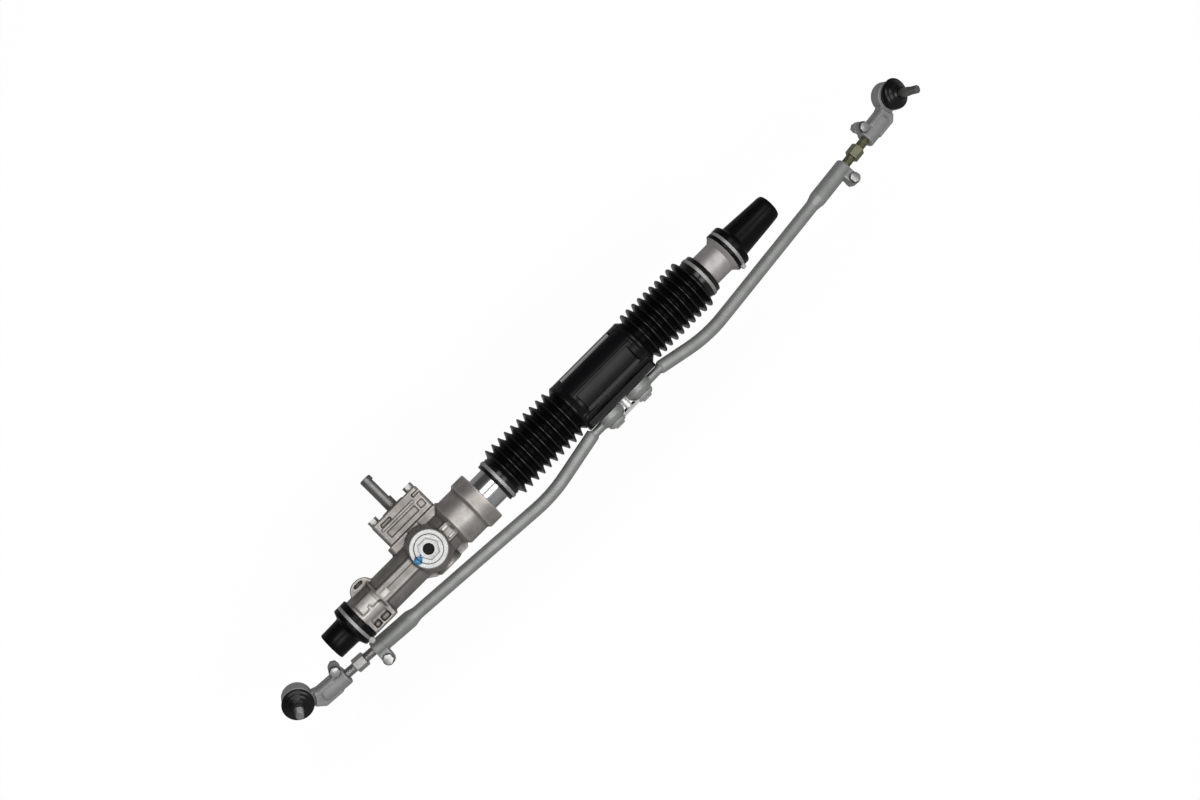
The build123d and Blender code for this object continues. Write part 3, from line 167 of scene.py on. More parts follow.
# Rack housing. One gravity-cast aluminium piece with its clamp ring, pinion tower, yoke boss, spine
# and ribbed mounting seat. Its skin keeps the grain of the mould, and corners are rounded as cast.
def finish(name, light, dark, metallic, rough, patch, grain, depth, along=None, gleam=0.5, edges=None):
    """Material with patches between two tones and a fine grain.

    along=(x, y, z) stretches the grain, gleam is the strength of the highlights on what is not metal,
    and edges=(hollow, ridge) scales the colour by pointiness: painted shade darkens the hollows, and a
    painted highlight with edge wear lightens the ridges of a fine mesh.
    """
    paint = bpy.data.materials.new(name)
    paint.use_nodes = True
    tree = paint.node_tree
    surface = tree.nodes["Principled BSDF"]
    surface.inputs["Metallic"].default_value = metallic
    surface.inputs["Specular IOR Level"].default_value = gleam
    place = tree.nodes.new("ShaderNodeTexCoord")
    patches = tree.nodes.new("ShaderNodeTexNoise")
    patches.inputs["Scale"].default_value = 1000 / patch
    patches.inputs["Detail"].default_value = 4
    tones = tree.nodes.new("ShaderNodeValToRGB")
    tones.color_ramp.elements[0].position, tones.color_ramp.elements[1].position = 0.3, 0.7
    tones.color_ramp.elements[0].color = (*dark, 1)
    tones.color_ramp.elements[1].color = (*light, 1)
    stretch = tree.nodes.new("ShaderNodeMapping")
    stretch.inputs["Scale"].default_value = along or (1, 1, 1)
    fine = tree.nodes.new("ShaderNodeTexNoise")
    fine.inputs["Scale"].default_value = 1000 / grain
    fine.inputs["Detail"].default_value = 3
    relief = tree.nodes.new("ShaderNodeBump")
    relief.inputs["Distance"].default_value = depth / 1000
    gain = tree.nodes.new("ShaderNodeVectorMath")
    gain.name, gain.operation = "gain", "SCALE"
    gain.inputs["Scale"].default_value = 1.0
    tree.links.new(place.outputs["Object"], patches.inputs["Vector"])
    tree.links.new(place.outputs["Object"], stretch.inputs["Vector"])
    tree.links.new(stretch.outputs[0], fine.inputs["Vector"])
    tree.links.new(patches.outputs["Fac"], tones.inputs["Fac"])
    tree.links.new(tones.outputs["Color"], gain.inputs[0])
    tree.links.new(gain.outputs[0], surface.inputs["Base Color"])
    # Painted shade in the hollows and painted highlight with edge wear on the ridges, from pointiness.
    if edges:
        ridges = tree.nodes.new("ShaderNodeNewGeometry").outputs["Pointiness"]
        tree.links.new(scaled(tree, ridges, 0.455, 0.545, *edges), gain.inputs["Scale"])
    wear = scaled(tree, patches.outputs["Fac"], 0, 1, rough + 0.07, rough - 0.05)
    tree.links.new(wear, surface.inputs["Roughness"])
    tree.links.new(fine.outputs["Fac"], relief.inputs["Height"])
    tree.links.new(relief.outputs["Normal"], surface.inputs["Normal"])
    return paint


def keep(name, mesh, body, paint, nodes):
    """Make a mesh a piece of the object: named, painted, riding on its body, in place of CAD nodes."""
    mesh.materials.clear()
    mesh.materials.append(paint)
    piece = bpy.data.objects.new(name, mesh)
    bpy.context.scene.collection.objects.link(piece)
    if body:
        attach(piece, body)
    if nodes:
        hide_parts(*nodes)
    return piece


def shade(work, sharp):
    """Smooth faces, with edges above the given angle kept sharp."""
    for face in work.faces:
        face.smooth = True
    for edge in work.edges:
        edge.smooth = len(edge.link_faces) != 2 or edge.calc_face_angle(0) < radians(sharp)


def cast(name, node, body, paint, skin, passes, milled=(), bare=None, fuller=()):
    """Copy a CAD solid with rounded corners, as a casting or a forging comes out of its mould.

    milled lists boxes in millimetres (x0, x1, y0, y1); front faces in them take the bare metal.
    fuller lists meshes that grow into the solid before its corners are rounded.
    """
    work = bmesh.new()
    work.from_mesh(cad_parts[node].data)
    for form in fuller:
        work.from_mesh(form)
    bmesh.ops.remove_doubles(work, verts=work.verts, dist=1e-6)
    rough = bpy.data.meshes.new(name)
    work.to_mesh(rough)
    work.free()
    blank = bpy.data.objects.new(name + "_blank", rough)
    bpy.context.scene.collection.objects.link(blank)
    remesh = blank.modifiers.new("skin", "REMESH")
    remesh.mode = "VOXEL"
    remesh.voxel_size = skin / 1000
    soften = blank.modifiers.new("soften", "SMOOTH")
    soften.factor, soften.iterations = 0.5, passes
    mesh = bpy.data.meshes.new_from_object(
        blank.evaluated_get(bpy.context.evaluated_depsgraph_get()))
    bpy.data.objects.remove(blank)
    work = bmesh.new()
    work.from_mesh(mesh)
    shade(work, 60)
    work.to_mesh(mesh)
    work.free()
    mesh.name = name
    piece = keep(name, mesh, body, paint, [node])
    if milled:
        mesh.materials.append(bare)
        for face in mesh.polygons:
            x, y, z = face.center * 1000
            if face.normal.z > 0.5 and z > 15:
                face.material_index = int(any(x0 < x < x1 and y0 < y < y1 for x0, x1, y0, y1 in milled))
    return piece


# Painted shade and highlight: the casting's colour falls to 0.25 in its hollows and rises 1.7 times on its ridges, the
# ridges also standing for worn edges.
cast_skin = finish("cast_aluminium", (0.290, 0.270, 0.254), (0.205, 0.190, 0.178), 0.75, 0.46, 14, 0.9, 0.06,
                   edges=(0.25, 1.7))
casting_tree = cast_skin.node_tree
tone = casting_tree.nodes["gain"].inputs["Scale"]
# Pointiness gain of the casting: painted shade in the hollows, painted highlight and edge wear on the ridges.
hollow_shade_and_ridge_wear = tone.links[0].from_socket
where = casting_tree.nodes.new("ShaderNodeTexCoord")
spot = casting_tree.nodes.new("ShaderNodeSeparateXYZ")
casting_tree.links.new(where.outputs["Object"], spot.inputs[0])
# The casting's colour grows up to 1.38 times lighter towards the barrel end, between X -62 and -38 mm.
lighter_towards_barrel = scaled(casting_tree, spot.outputs["X"], -0.062, -0.038, 1.0, 1.38, smooth=True)
# Painted shadow: a 1.6 mm line beside the spine, on the front between X -169 and -107 mm, is darkened to 0.3 as the
# shadow of the groove that the rounded skin loses.
beside_spine = reckon(casting_tree, "COMPARE", spot.outputs["Y"], 0.0024, 0.0008)
along_spine = reckon(casting_tree, "COMPARE", spot.outputs["X"], -0.138, 0.031)
on_front = reckon(casting_tree, "GREATER_THAN", spot.outputs["Z"], 0.027)
groove = reckon(casting_tree, "MULTIPLY", reckon(casting_tree, "MULTIPLY", beside_spine, along_spine), on_front)
groove_shadow = scaled(casting_tree, groove, 0, 1, 1.0, 0.3)
# Barrel gradient times the pointiness gain of painted shade and highlight.
barrel_lift_and_hollow_shade = reckon(casting_tree, "MULTIPLY", lighter_towards_barrel, hollow_shade_and_ridge_wear)
casting_tree.links.new(reckon(casting_tree, "MULTIPLY", barrel_lift_and_hollow_shade, groove_shadow), tone)
milled_alloy = finish("milled_aluminium", (0.53, 0.51, 0.48), (0.42, 0.40, 0.375), 0.7, 0.46, 10, 0.8, 0.02,
                      along=(1, 8, 1))
clamp_pad, spine_pad, barrel_pads = (-225, -189, -5, 16), (-181, -168, -3.4, 3.4), (
    (-61, -47, -11, -6), (-61, -47, 1.6, 7.8))
cast("casting", "rack_housing", "housing", cast_skin, 1.25, 2, bare=milled_alloy,
     milled=(clamp_pad, spine_pad, *barrel_pads))
cast("cover", "pinion_cover", "housing", cast_skin, 0.8, 2)


# Machined and pressed pieces of the housing. They keep the size of the CAD solid, with every edge broken
# by a small bevel as a tool or a tumbler leaves it: the polished tube, the turned sleeve at its far end,
# the rack's plastic bush, the cover's gasket and bolts, and the two bearings pressed into their bores.
def dressed(node, body, paint, bevel=0.35, sharp=28):
    """A CAD solid tidied into whole faces, with bevelled edges."""
    work = bmesh.new()
    work.from_mesh(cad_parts[node].data)
    bmesh.ops.remove_doubles(work, verts=work.verts, dist=1e-6)
    bmesh.ops.dissolve_limit(work, angle_limit=radians(0.4), verts=work.verts, edges=work.edges)
    shade(work, sharp)
    mesh = bpy.data.meshes.new(node + "_mesh")
    work.to_mesh(mesh)
    work.free()
    piece = keep("fine_" + node, mesh, body, paint, [node])
    edge = piece.modifiers.new("broken_edge", "BEVEL")
    edge.width, edge.segments, edge.limit_method = bevel / 1000, 2, "ANGLE"
    edge.angle_limit = radians(sharp)
    edge.use_clamp_overlap = True
    return piece


turned_steel = finish("turned_steel", (0.60, 0.60, 0.61), (0.48, 0.48, 0.49), 1.0, 0.18, 30, 0.8, 0.008,
                      along=(1, 0, 0))
turned_alloy = finish("turned_alloy", (0.45, 0.425, 0.415), (0.36, 0.34, 0.33), 0.7, 0.5, 12, 0.8, 0.015,
                      along=(1, 0.2, 0.2))
nylon = finish("white_nylon", (0.75, 0.74, 0.70), (0.66, 0.65, 0.61), 0.0, 0.45, 10, 1.0, 0.02)
paper = finish("gasket_paper", (0.05, 0.045, 0.04), (0.03, 0.028, 0.025), 0.0, 0.8, 4, 0.6, 0.04)
plated = finish("plated_steel", (0.46, 0.455, 0.445), (0.34, 0.335, 0.325), 0.9, 0.36, 9, 0.7, 0.02)
# Painted shade and highlight: pointiness darkens the forging's hollows to 0.55 and lightens its ridges 1.2 times.
forged = finish("forged_steel", (0.325, 0.335, 0.32), (0.265, 0.275, 0.262), 0.45, 0.48, 18, 1.2, 0.02,
                edges=(0.55, 1.2))
for node, paint, slot in (
    ("housing_tube", turned_steel, "polished_steel"), ("end_mount_sleeve", turned_alloy, "cast_aluminium"),
    ("rack_bush", nylon, "white_plastic"), ("cover_gasket", paper, "gasket_paper"),
    ("cover_bolts", plated, "plated_steel"), ("bearing_outer_race", turned_steel, "polished_steel"),
    ("needle_bearing", forged, "plain_steel"),
):
    dressed(node, "housing", paint)


# Yoke, its spring, the adjuster plug and the plug's lock ring. The yoke is greased alloy, and with its
# spring painted near black as the shade seen down the plug's hole. The plug and ring are turned steel,
# with painted shade on the wall of the hole at the plug's middle and a dab of blue inspection paint.
def off_axis(tree, shift, stretch):
    """Distance from an axis along Z, with the coordinates shifted and stretched first."""
    place = tree.nodes.new("ShaderNodeTexCoord")
    flat = tree.nodes.new("ShaderNodeMapping")
    flat.inputs["Location"].default_value, flat.inputs["Scale"].default_value = shift, stretch
    distance = tree.nodes.new("ShaderNodeVectorMath")
    distance.operation = "LENGTH"
    tree.links.new(place.outputs["Object"], flat.inputs["Vector"])
    tree.links.new(flat.outputs[0], distance.inputs[0])
    return distance.outputs["Value"]


# Grease and painted shade: near black, so that the yoke and spring seen down the plug's hole read as the shade in it.
grease_and_hole_shade = finish("grease_and_hole_shade_steel", (0.020, 0.018, 0.014), (0.010, 0.009, 0.007), 0.3, 0.35, 6, 1.0, 0.02)
plug_metal = finish("plug_metal", (0.46, 0.46, 0.45), (0.37, 0.37, 0.36), 0.85, 0.38, 12, 0.7, 0.015)
plug_tree = plug_metal.node_tree
where = plug_tree.nodes.new("ShaderNodeTexCoord")
ragged = plug_tree.nodes.new("ShaderNodeTexNoise")
ragged.inputs["Scale"].default_value = 260
plug_tree.links.new(where.outputs["Object"], ragged.inputs["Vector"])
from_dab = off_axis(plug_tree, (0.0905, 0.0012, 0), (0.8, 1.15, 0))
ragged_edge = reckon(plug_tree, "MULTIPLY_ADD", ragged.outputs["Fac"], 0.010, from_dab)
painted = scaled(plug_tree, ragged_edge, 0.0105, 0.0118, 1.0, 0.0)
blues = plug_tree.nodes.new("ShaderNodeValToRGB")
blues.color_ramp.elements[0].position, blues.color_ramp.elements[1].position = 0.35, 0.65
blues.color_ramp.elements[0].color = (0.004, 0.04, 0.13, 1)
blues.color_ramp.elements[1].color = (0.02, 0.26, 0.50, 1)
plug_tree.links.new(ragged.outputs["Fac"], blues.inputs["Fac"])
dabbed = plug_tree.nodes.new("ShaderNodeMix")
dabbed.data_type = "RGBA"
# Painted shade: the plug's colour falls to 0.02 within 7.8 mm of the hole's axis, darkening the hole's wall.
from_hole = off_axis(plug_tree, (0.0917, 0, 0), (1, 1, 0))
plug_tree.links.new(scaled(plug_tree, from_hole, 0.0078, 0.0084, 0.02, 1.0), plug_tree.nodes["gain"].inputs["Scale"])
plug_tree.links.new(painted, dabbed.inputs[0])
plug_tree.links.new(plug_tree.nodes["gain"].outputs[0], dabbed.inputs[6])
plug_tree.links.new(blues.outputs["Color"], dabbed.inputs[7])
plug_surface = plug_tree.nodes["Principled BSDF"]
plug_tree.links.new(dabbed.outputs[2], plug_surface.inputs["Base Color"])
plug_tree.links.new(scaled(plug_tree, painted, 0, 1, 0.9, 0.0), plug_surface.inputs["Metallic"])
for node, paint, slot in (
    ("yoke", grease_and_hole_shade, "cast_aluminium"), ("yoke_spring", grease_and_hole_shade, "plain_steel"),
    ("adjuster_plug", plug_metal, "plated_steel"), ("plug_lock_ring", plug_metal, "plated_steel"),
):
    dressed(node, "housing", paint)


# Pinion shaft with the inner race, the circlip that holds it and the balls. The shaft is hardened and
# darker than the polished races, and its bare end takes the steering column's clamp.
dark_steel = finish("dark_steel", (0.21, 0.205, 0.195), (0.155, 0.152, 0.145), 0.8, 0.38, 14, 0.8, 0.012)
for node, paint, slot in (
    ("pinion_shaft", dark_steel, "plain_steel"), ("bearing_inner_race", turned_steel, "polished_steel"),
    ("shaft_circlip", forged, "plain_steel"),
):
    dressed(node, "pinion", paint, bevel=0.2)
dressed("bearing_balls", "bearing_balls", turned_steel, bevel=0.01)


# Rack bar with what it carries inside the boot: the plastic block that runs in the tube's slot, and the
# two steel sleeves that the rods' rubber bushes are pressed on.
gloss = finish("black_plastic", (0.0034, 0.0034, 0.0044), (0.0024, 0.0024, 0.003), 0.0, 0.24, 30, 3.0, 0.012,
               gleam=0.2)
for node, paint, slot in (
    ("rack_bar", turned_steel, "polished_steel"), ("guide_block", gloss, "black_plastic"),
    ("bush_sleeves", plated, "plated_steel"),
):
    dressed(node, "rack", paint)


# Bellows. Two moulded rubber halves of the boot, ten pleats each, tight on the tube at their outer
# ends and held by the centre sleeve at their inner ends.
def turned(outline, steps=128, work=None):
    """Surface turned about X from a closed outline of (x, radius) points in millimetres."""
    work = work or bmesh.new()
    points = [work.verts.new((x, r, 0)) for x, r in outline]
    rim = list(zip(points, points[1:]))
    if outline[0][1] > 0 or outline[-1][1] > 0:
        rim.append((points[-1], points[0]))
    edges = [work.edges.new(pair) for pair in rim]
    bmesh.ops.spin(work, geom=points + edges, cent=(0, 0, 0), axis=(1, 0, 0), angle=2 * pi,
                   steps=steps, use_merge=True)
    bmesh.ops.remove_doubles(work, verts=work.verts, dist=0.001)
    bmesh.ops.dissolve_degenerate(work, dist=0.0005, edges=work.edges)
    return work


def settle(work, name, place=None, sharp=35):
    """Close a bmesh drawn in millimetres into a mesh in metres, in its place."""
    bmesh.ops.recalc_face_normals(work, faces=work.faces)
    matrix = Matrix.Scale(0.001, 4) @ (place or Matrix.Identity(4))
    bmesh.ops.transform(work, matrix=matrix, verts=work.verts)
    if matrix.determinant() < 0:
        bmesh.ops.reverse_faces(work, faces=work.faces)
    shade(work, sharp)
    mesh = bpy.data.meshes.new(name)
    work.to_mesh(mesh)
    work.free()
    return mesh


pleat_rubber = finish("pleat_rubber", (0.0034, 0.0034, 0.0038), (0.002, 0.002, 0.0024), 0.0, 0.2, 22, 1.0, 0.006,
                      gleam=0.4)


def pleat(x0, x1, low, high):
    """Rounded pleat between two valleys."""
    half = (x1 - x0) / 2
    steps = ((0.0, 0.0), (0.12, 0.05), (0.5, 0.5), (0.72, 0.80), (0.81, 0.93), (0.90, 0.985), (1.0, 1.0))
    rise = [(x0 + half * a, low + (high - low) * b) for a, b in steps]
    fall = [(x1 - half * a, low + (high - low) * b) for a, b in reversed(steps[1:-1])]
    return rise + fall


def bellows(name, collar, collar_end, first_crest, last_crest, sleeve, node, hand):
    """One half of the boot. The sizes are along X, and hand is 1 where they rise and -1 where they fall."""
    tube_skin, collar_skin, valley_skin, crest_skin, wall = 25.75, 31.6, 30.7, 40.3, 2.1
    pitch = (last_crest - first_crest) / 9
    outline = [(collar, tube_skin), (collar, collar_skin - 0.6), (collar + hand * 0.6, collar_skin),
               (collar_end - hand * 1.0, collar_skin), (collar_end, collar_skin - 0.6)]
    for k in range(10):
        crest = first_crest + k * pitch
        outline += pleat(crest - pitch / 2, crest + pitch / 2, valley_skin, crest_skin)
    outline += [(last_crest + pitch / 2, valley_skin), (sleeve - hand * 0.4, 37.2), (sleeve, 37.0), (sleeve, 28.5)]
    for k in reversed(range(10)):
        crest = first_crest + k * pitch
        outline += [(crest + pitch / 2 - hand * 0.5, valley_skin - wall), (crest, 37.4),
                    (crest - pitch / 2 + hand * 0.5, valley_skin - wall)]
    outline += [(collar_end, 28.4), (collar_end, tube_skin)]
    mesh = settle(turned(outline), name, sharp=50)
    piece = keep(name, mesh, None, pleat_rubber, [node])
    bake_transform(piece)


bellows("bellows_left", 34.1, 50.1, 56.8, 166.2, 178.4, "left_bellows", 1)
bellows("bellows_right", 447.4, 431.4, 423.5, 321.4, 308.1, "right_bellows", -1)


# Rubber end caps. Moulded rubber, pushed over a turned seat at each end of the gear. The right one is
# long, because the rack bar comes out into it, and its tip sags a little to one side.
rubber = finish("black_rubber", (0.0036, 0.0036, 0.0042), (0.0022, 0.0022, 0.0027), 0.0, 0.27, 22, 1.0, 0.012,
                gleam=0.11)


def end_cap(name, node, outline, bend=0.0, bend_from=0.0, bend_length=71):
    work = turned(outline)
    for vert in work.verts:
        vert.co.y += bend * (max(vert.co.x - bend_from, 0) / bend_length) ** 2
    keep(name, settle(work, name, sharp=50), "housing", rubber, [node])


end_cap("cap_left", "left_end_cap", [
    (-277.2, 0), (-277.2, 18.6), (-276.8, 19.9), (-275.8, 20.6), (-262, 20.9), (-247.4, 21.3), (-245.8, 21.8),
    (-244.6, 23.0), (-242.2, 29.4), (-241.4, 30.8), (-240.0, 31.5), (-235.2, 31.5), (-235.1, 30.1), (-229.7, 30.1),
    (-229.6, 31.5), (-222.2, 31.5), (-221.3, 30.9), (-221.1, 30), (-221.1, 27.05), (-240.1, 27.05), (-240.1, 17.1),
    (-273.7, 17.1), (-273.7, 0)])
end_cap("cap_right", "right_end_cap", [
    (485.7, 27.05), (485.7, 31.4), (486.6, 32.4), (490.7, 32.4), (490.8, 31.0), (496.2, 31.0), (496.3, 32.4),
    (503.2, 32.4), (504.8, 31.9), (505.8, 30.8), (508.2, 25.6), (509.2, 24.7), (511, 24.4), (560, 20.9),
    (573, 19.9), (577.5, 19.3), (580.2, 18.0), (581.2, 16.2), (581.4, 14), (581.4, 0), (577.9, 0), (577.9, 13.5),
    (509.2, 21.0), (505.1, 21.0), (505.1, 27.05)], bend=1.4, bend_from=510)


# Steel bands of the caps and of the boot. Each is a strip drawn tight around its collar, those of the
# caps by a slotted screw in a saddle, those of the boot by an ear that is pinched together.
def square_to(axis, verts):
    """Edges at the vertices that lie square to the axis 0, 1 or 2."""
    edges = {edge for vert in verts for edge in vert.link_edges}
    return [edge for edge in edges if abs(edge.verts[0].co[axis] - edge.verts[1].co[axis]) < 0.01]


def broken(work, edges, width, steps=2):
    """Break or round edges by the given width."""
    bmesh.ops.bevel(work, geom=edges, offset=width, offset_type="OFFSET", segments=steps, profile=0.5,
                    material=-1, affect="EDGES")


def slab(work, size, place):
    """Rectangular block of the given size around a place."""
    corners = bmesh.ops.create_cube(work, size=1)["verts"]
    bmesh.ops.scale(work, vec=size, verts=corners)
    bmesh.ops.translate(work, vec=place, verts=corners)


band_steel = finish("band_steel", (0.36, 0.36, 0.355), (0.28, 0.28, 0.275), 0.55, 0.5, 9, 0.7, 0.02)


def band(name, nodes, hoops, screws=(), ears=()):
    """Hoops are (x, radius), screws (x, y, z, radius, length) and ears (x, y, z)."""
    work = bmesh.new()
    half_width, gauge = 2.5, 1.25
    for x, r in hoops:
        turned([(x - half_width, r + 0.05), (x - half_width, r + 0.9), (x - 2.1, r + gauge), (x + 2.1, r + gauge),
                (x + half_width, r + 0.9), (x + half_width, r + 0.05)], work=work)
    for x, y, z, r, length in screws:
        head = bmesh.ops.create_cone(work, cap_ends=True, segments=32, radius1=r, radius2=r, depth=length)
        bmesh.ops.translate(work, vec=(x, y, z), verts=head["verts"])
        broken(work, square_to(2, head["verts"]), 0.8)
        slab(work, (6.4, 6.2, length - 2.4), (x, y + 2.2, z - 0.6))
        slab(work, (r * 1.5, 1.0, 0.3), (x, y, z + length / 2 + 0.05))
    for place in ears:
        slab(work, (3.4, 8, 3.4), place)
    keep(name, settle(work, name), "housing", band_steel, nodes)


band("band_left", ["left_cap_clamp"], [(-232.4, 30.1)], screws=[(-231.6, -32.6, 9.5, 4.4, 9)])
band("band_right", ["right_cap_clamp"], [(493.5, 31.0)], screws=[(491.5, -33.6, 10.5, 3.0, 7)])
band("bands_boot", ["boot_clamps"], [(41.4, 31.62), (438.0, 31.62)], ears=[(40.6, 0, -33.6), (438.8, 0, -33.6)])


# Lip seal of the pinion shaft. Moulded rubber, pressed into the cover around the shaft.
def spoked(work, place):
    """Turn a piece drawn about X so that its axis points along Y."""
    bmesh.ops.rotate(work, matrix=Matrix.Rotation(radians(90), 3, "Z"), verts=work.verts)
    bmesh.ops.translate(work, vec=place, verts=work.verts)
    return work


seal = spoked(turned([(73.0, 9.57), (73.9, 9.57), (75.2, 10.6), (76.3, 10.9), (76.9, 11.8), (76.4, 12.8), (76.1, 14.5),
                      (75.6, 14.98), (70.0, 14.98), (70.0, 12.5), (72.6, 12.2)], 96), (-86.0, 0, -15.015))
keep("shaft_seal", settle(seal, "shaft_seal", sharp=50), "housing", rubber, ["pinion_seal"])


# Centre sleeve of the boot. A stiff black moulding in gloss plastic, carried along by the rack, with a
# sunk panel on its front, a ledge along its top and a flat underneath that the rail is bolted to.
sleeve_radius = 37.7


def sleeve_skin(x, turn):
    """Radius of the sleeve's outside at x millimetres, turn degrees above the front."""
    beside_panel = 190.1 < x < 191.7 or 299.9 < x < 301.5
    if 196 < x < 292 and -33.5 < turn < 6.5:  # panel, slightly crowned
        across = (6 - turn) / 39
        flat = (3.8 * -6.85 + 36.2 * 22.86) / (22.86 * cos(radians(turn)) - 6.85 * sin(radians(turn)))
        return flat + 0.5 * (1 - (2 * across - 1) ** 2)
    if 196 < x < 292 and -42.5 < turn < -33.5:  # slope under the panel
        return 35.0 + 0.3 * (-33 - turn)
    if 196 < x < 289 and 53 < turn < 70:  # ledge along the top
        return 30.5 / sin(radians(turn)) if turn < 67 else min(12.9 / cos(radians(turn)), sleeve_radius)
    if 182 < x < 305 and 11.5 < turn < 12.5:  # bead above the panel
        return 38.3
    if 182 < x < 305 and -45.5 < turn < -44.5:  # groove under it
        return 36.8
    if -37 < turn < 56 and (186 < x < 187 or 297 < x < 298 or 303 < x < 304):  # grooves at both ends
        return 35.9 if x < 200 else 36.9
    if x < 179 or x > 307.6:  # rounded rims
        return 37.2 if x in (178.5, 308.0) else 37.9
    if x < 181.4 or x > 305.2 or (-34 < turn < 12 and beside_panel):  # beads around rims and panel
        return 38.2
    return sleeve_radius


stations = (178.5, 178.9, 181.3, 181.7, 186.5, 189.8, 190.2, 191.6, 192.0, 194.4, 196.2, 212, 228, 244, 260, 276,
            288.4, 291.0, 292.8, 297.5, 299.6, 300.0, 301.4, 301.8, 303.3, 304.9, 305.3, 307.7, 308.0)
work = turned([(x, sleeve_radius) for x in stations] + [
    (308.0, 28.6), (305, 28.6), (305, 31.5), (181.5, 31.5), (181.5, 28.6), (178.5, 28.6)], 240)
for vert in work.verts:
    x, y, z = vert.co
    if Vector((y, z)).length > 37:
        turn = degrees(atan2(y, z))
        x = min(stations, key=lambda station: abs(station - x))
        radius = sleeve_skin(x, turn)
        if -42.5 < turn < -33.5 and (194 < x < 197 or 290 < x < 293):
            x += (0.38 if x > 200 else -0.38) * (-33 - turn)
        vert.co = (x, max(radius * sin(radians(turn)), -36.2), radius * cos(radians(turn)))
shell = keep("sleeve", settle(work, "sleeve", sharp=22), "rack", gloss, ["centre_sleeve"])
lacquer = finish("black_lacquer", (0.0034, 0.0034, 0.0044), (0.0024, 0.0024, 0.003), 0.0, 0.2, 30, 3.0, 0.01,
                 gleam=0.85)
shell.data.materials.append(lacquer)
for face in shell.data.polygons:
    x, y, z = face.center * 1000
    face.material_index = int(face.normal.z > 0.85 and y > 30 and 195 < x < 290)


# Rail under the sleeve. Flat bar in black enamel with rounded corners, which presses the sleeve's flat
# onto the guide block and gives both tie rods their seat.
enamel = finish("black_enamel", (0.0055, 0.0055, 0.006), (0.0035, 0.0035, 0.004), 0.0, 0.34, 14, 1.5, 0.02,
                gleam=0.16)
rail = bmesh.new()
slab(rail, (126.5, 11.3, 33), (0, 0, 0))
broken(rail, [edge for edge in rail.edges if abs(edge.verts[0].co.y - edge.verts[1].co.y) > 0.5], 5, steps=6)
broken(rail, square_to(1, rail.verts), 0.5)
bmesh.ops.translate(rail, vec=(243.25, -37.65, 0), verts=rail.verts)
keep("rail", settle(rail, "rail"), "rack", enamel, ["rail_plate"])


# Spacer and lock plate. The nickel-plated spacer stands between the two rod eyes, and the steel plate
# under them keeps the bolts from turning. A dark wedge in black enamel fills the corners beside the spacer
# as painted shade, where the gaps between the eyes and the plate lie in shadow.
left_bolt, right_bolt = 214.4, 267.3
between_bolts = (left_bolt + right_bolt) / 2
nickel = finish("nickel_plate", (0.88, 0.88, 0.86), (0.78, 0.78, 0.76), 0.45, 0.4, 12, 0.8, 0.01)
spool = spoked(turned([(-58.9, 0), (-58.9, 5.4), (-57.4, 5.6), (-56.9, 4.9), (-52.7, 4.9), (-52.4, 5.5), (-51.0, 5.5),
                       (-50.7, 4.9), (-45.3, 4.9), (-44.8, 5.6), (-43.3, 5.6), (-43.3, 0)], 64), (between_bolts, 0, 0))
keep("distance_piece", settle(spool, "distance_piece"), "rack", nickel, ["spacer"])
plate = bmesh.new()
slab(plate, (72.9, 2.2, 18.4), (0, 0, 0))
broken(plate, [edge for edge in plate.edges if abs(edge.verts[0].co.y - edge.verts[1].co.y) > 1], 8, steps=8)
bmesh.ops.translate(plate, vec=(between_bolts, -60.1, 0), verts=plate.verts)
slab(plate, (28, 3.0, 2.2), (between_bolts, -61.6, 8.0))
keep("bolt_plate", settle(plate, "bolt_plate"), "rack", forged, ["lock_plate"])
# Painted shade: a flat black wedge at the spacer, standing for the shadow in the gaps beside it.
shade_wedge = bmesh.new()
bmesh.ops.create_cone(shade_wedge, cap_ends=True, segments=4, radius1=15.6, radius2=12.0, depth=3.4)
bmesh.ops.rotate(shade_wedge, matrix=Matrix.Rotation(radians(45), 3, "Z"), verts=shade_wedge.verts)
bmesh.ops.rotate(shade_wedge, matrix=Matrix.Rotation(radians(-90), 3, "X"), verts=shade_wedge.verts)
bmesh.ops.scale(shade_wedge, vec=(1, 1, 0.12), verts=shade_wedge.verts)
bmesh.ops.translate(shade_wedge, vec=(between_bolts, -57.3, 0), verts=shade_wedge.verts)
keep("painted_shade_wedge", settle(shade_wedge, "painted_shade_wedge"), "rack", enamel, [])


# Two rack bolts. Forged, with a flanged hexagon head, each through a rod eye, the rail and the guide
# block into the rack bar.
heads = bmesh.new()
for x in (left_bolt, right_bolt):
    head = bmesh.ops.create_cone(heads, cap_ends=True, segments=6, radius1=8.66, radius2=8.66, depth=6)
    bmesh.ops.rotate(heads, matrix=Matrix.Rotation(radians(90), 3, "X"), verts=head["verts"])
    bmesh.ops.translate(heads, vec=(x, -65.0, 0), verts=head["verts"])
    outer_rim = [edge for edge in square_to(1, head["verts"]) if edge.verts[0].co.y < -67]
    broken(heads, outer_rim, 1.2)
    flange = spoked(turned([(-58.85, 0), (-58.85, 14.7), (-59.6, 15.0), (-62.1, 14.0), (-64.9, 10.6),
                            (-65.2, 9.0), (-65.2, 0)], 64), (x, 0, 0))
    shank = spoked(turned([(-64, 0), (-64, 6.0), (6.5, 6.0), (7.5, 5.0), (7.5, 0)], 48), (x, 0, 0))
    for form in (flange, shank):
        mesh = bpy.data.meshes.new("bolt_part")
        form.to_mesh(mesh)
        heads.from_mesh(mesh)
keep("rack_bolts", settle(heads, "rack_bolts", sharp=30), "rack", forged, ["rod_bolts"])


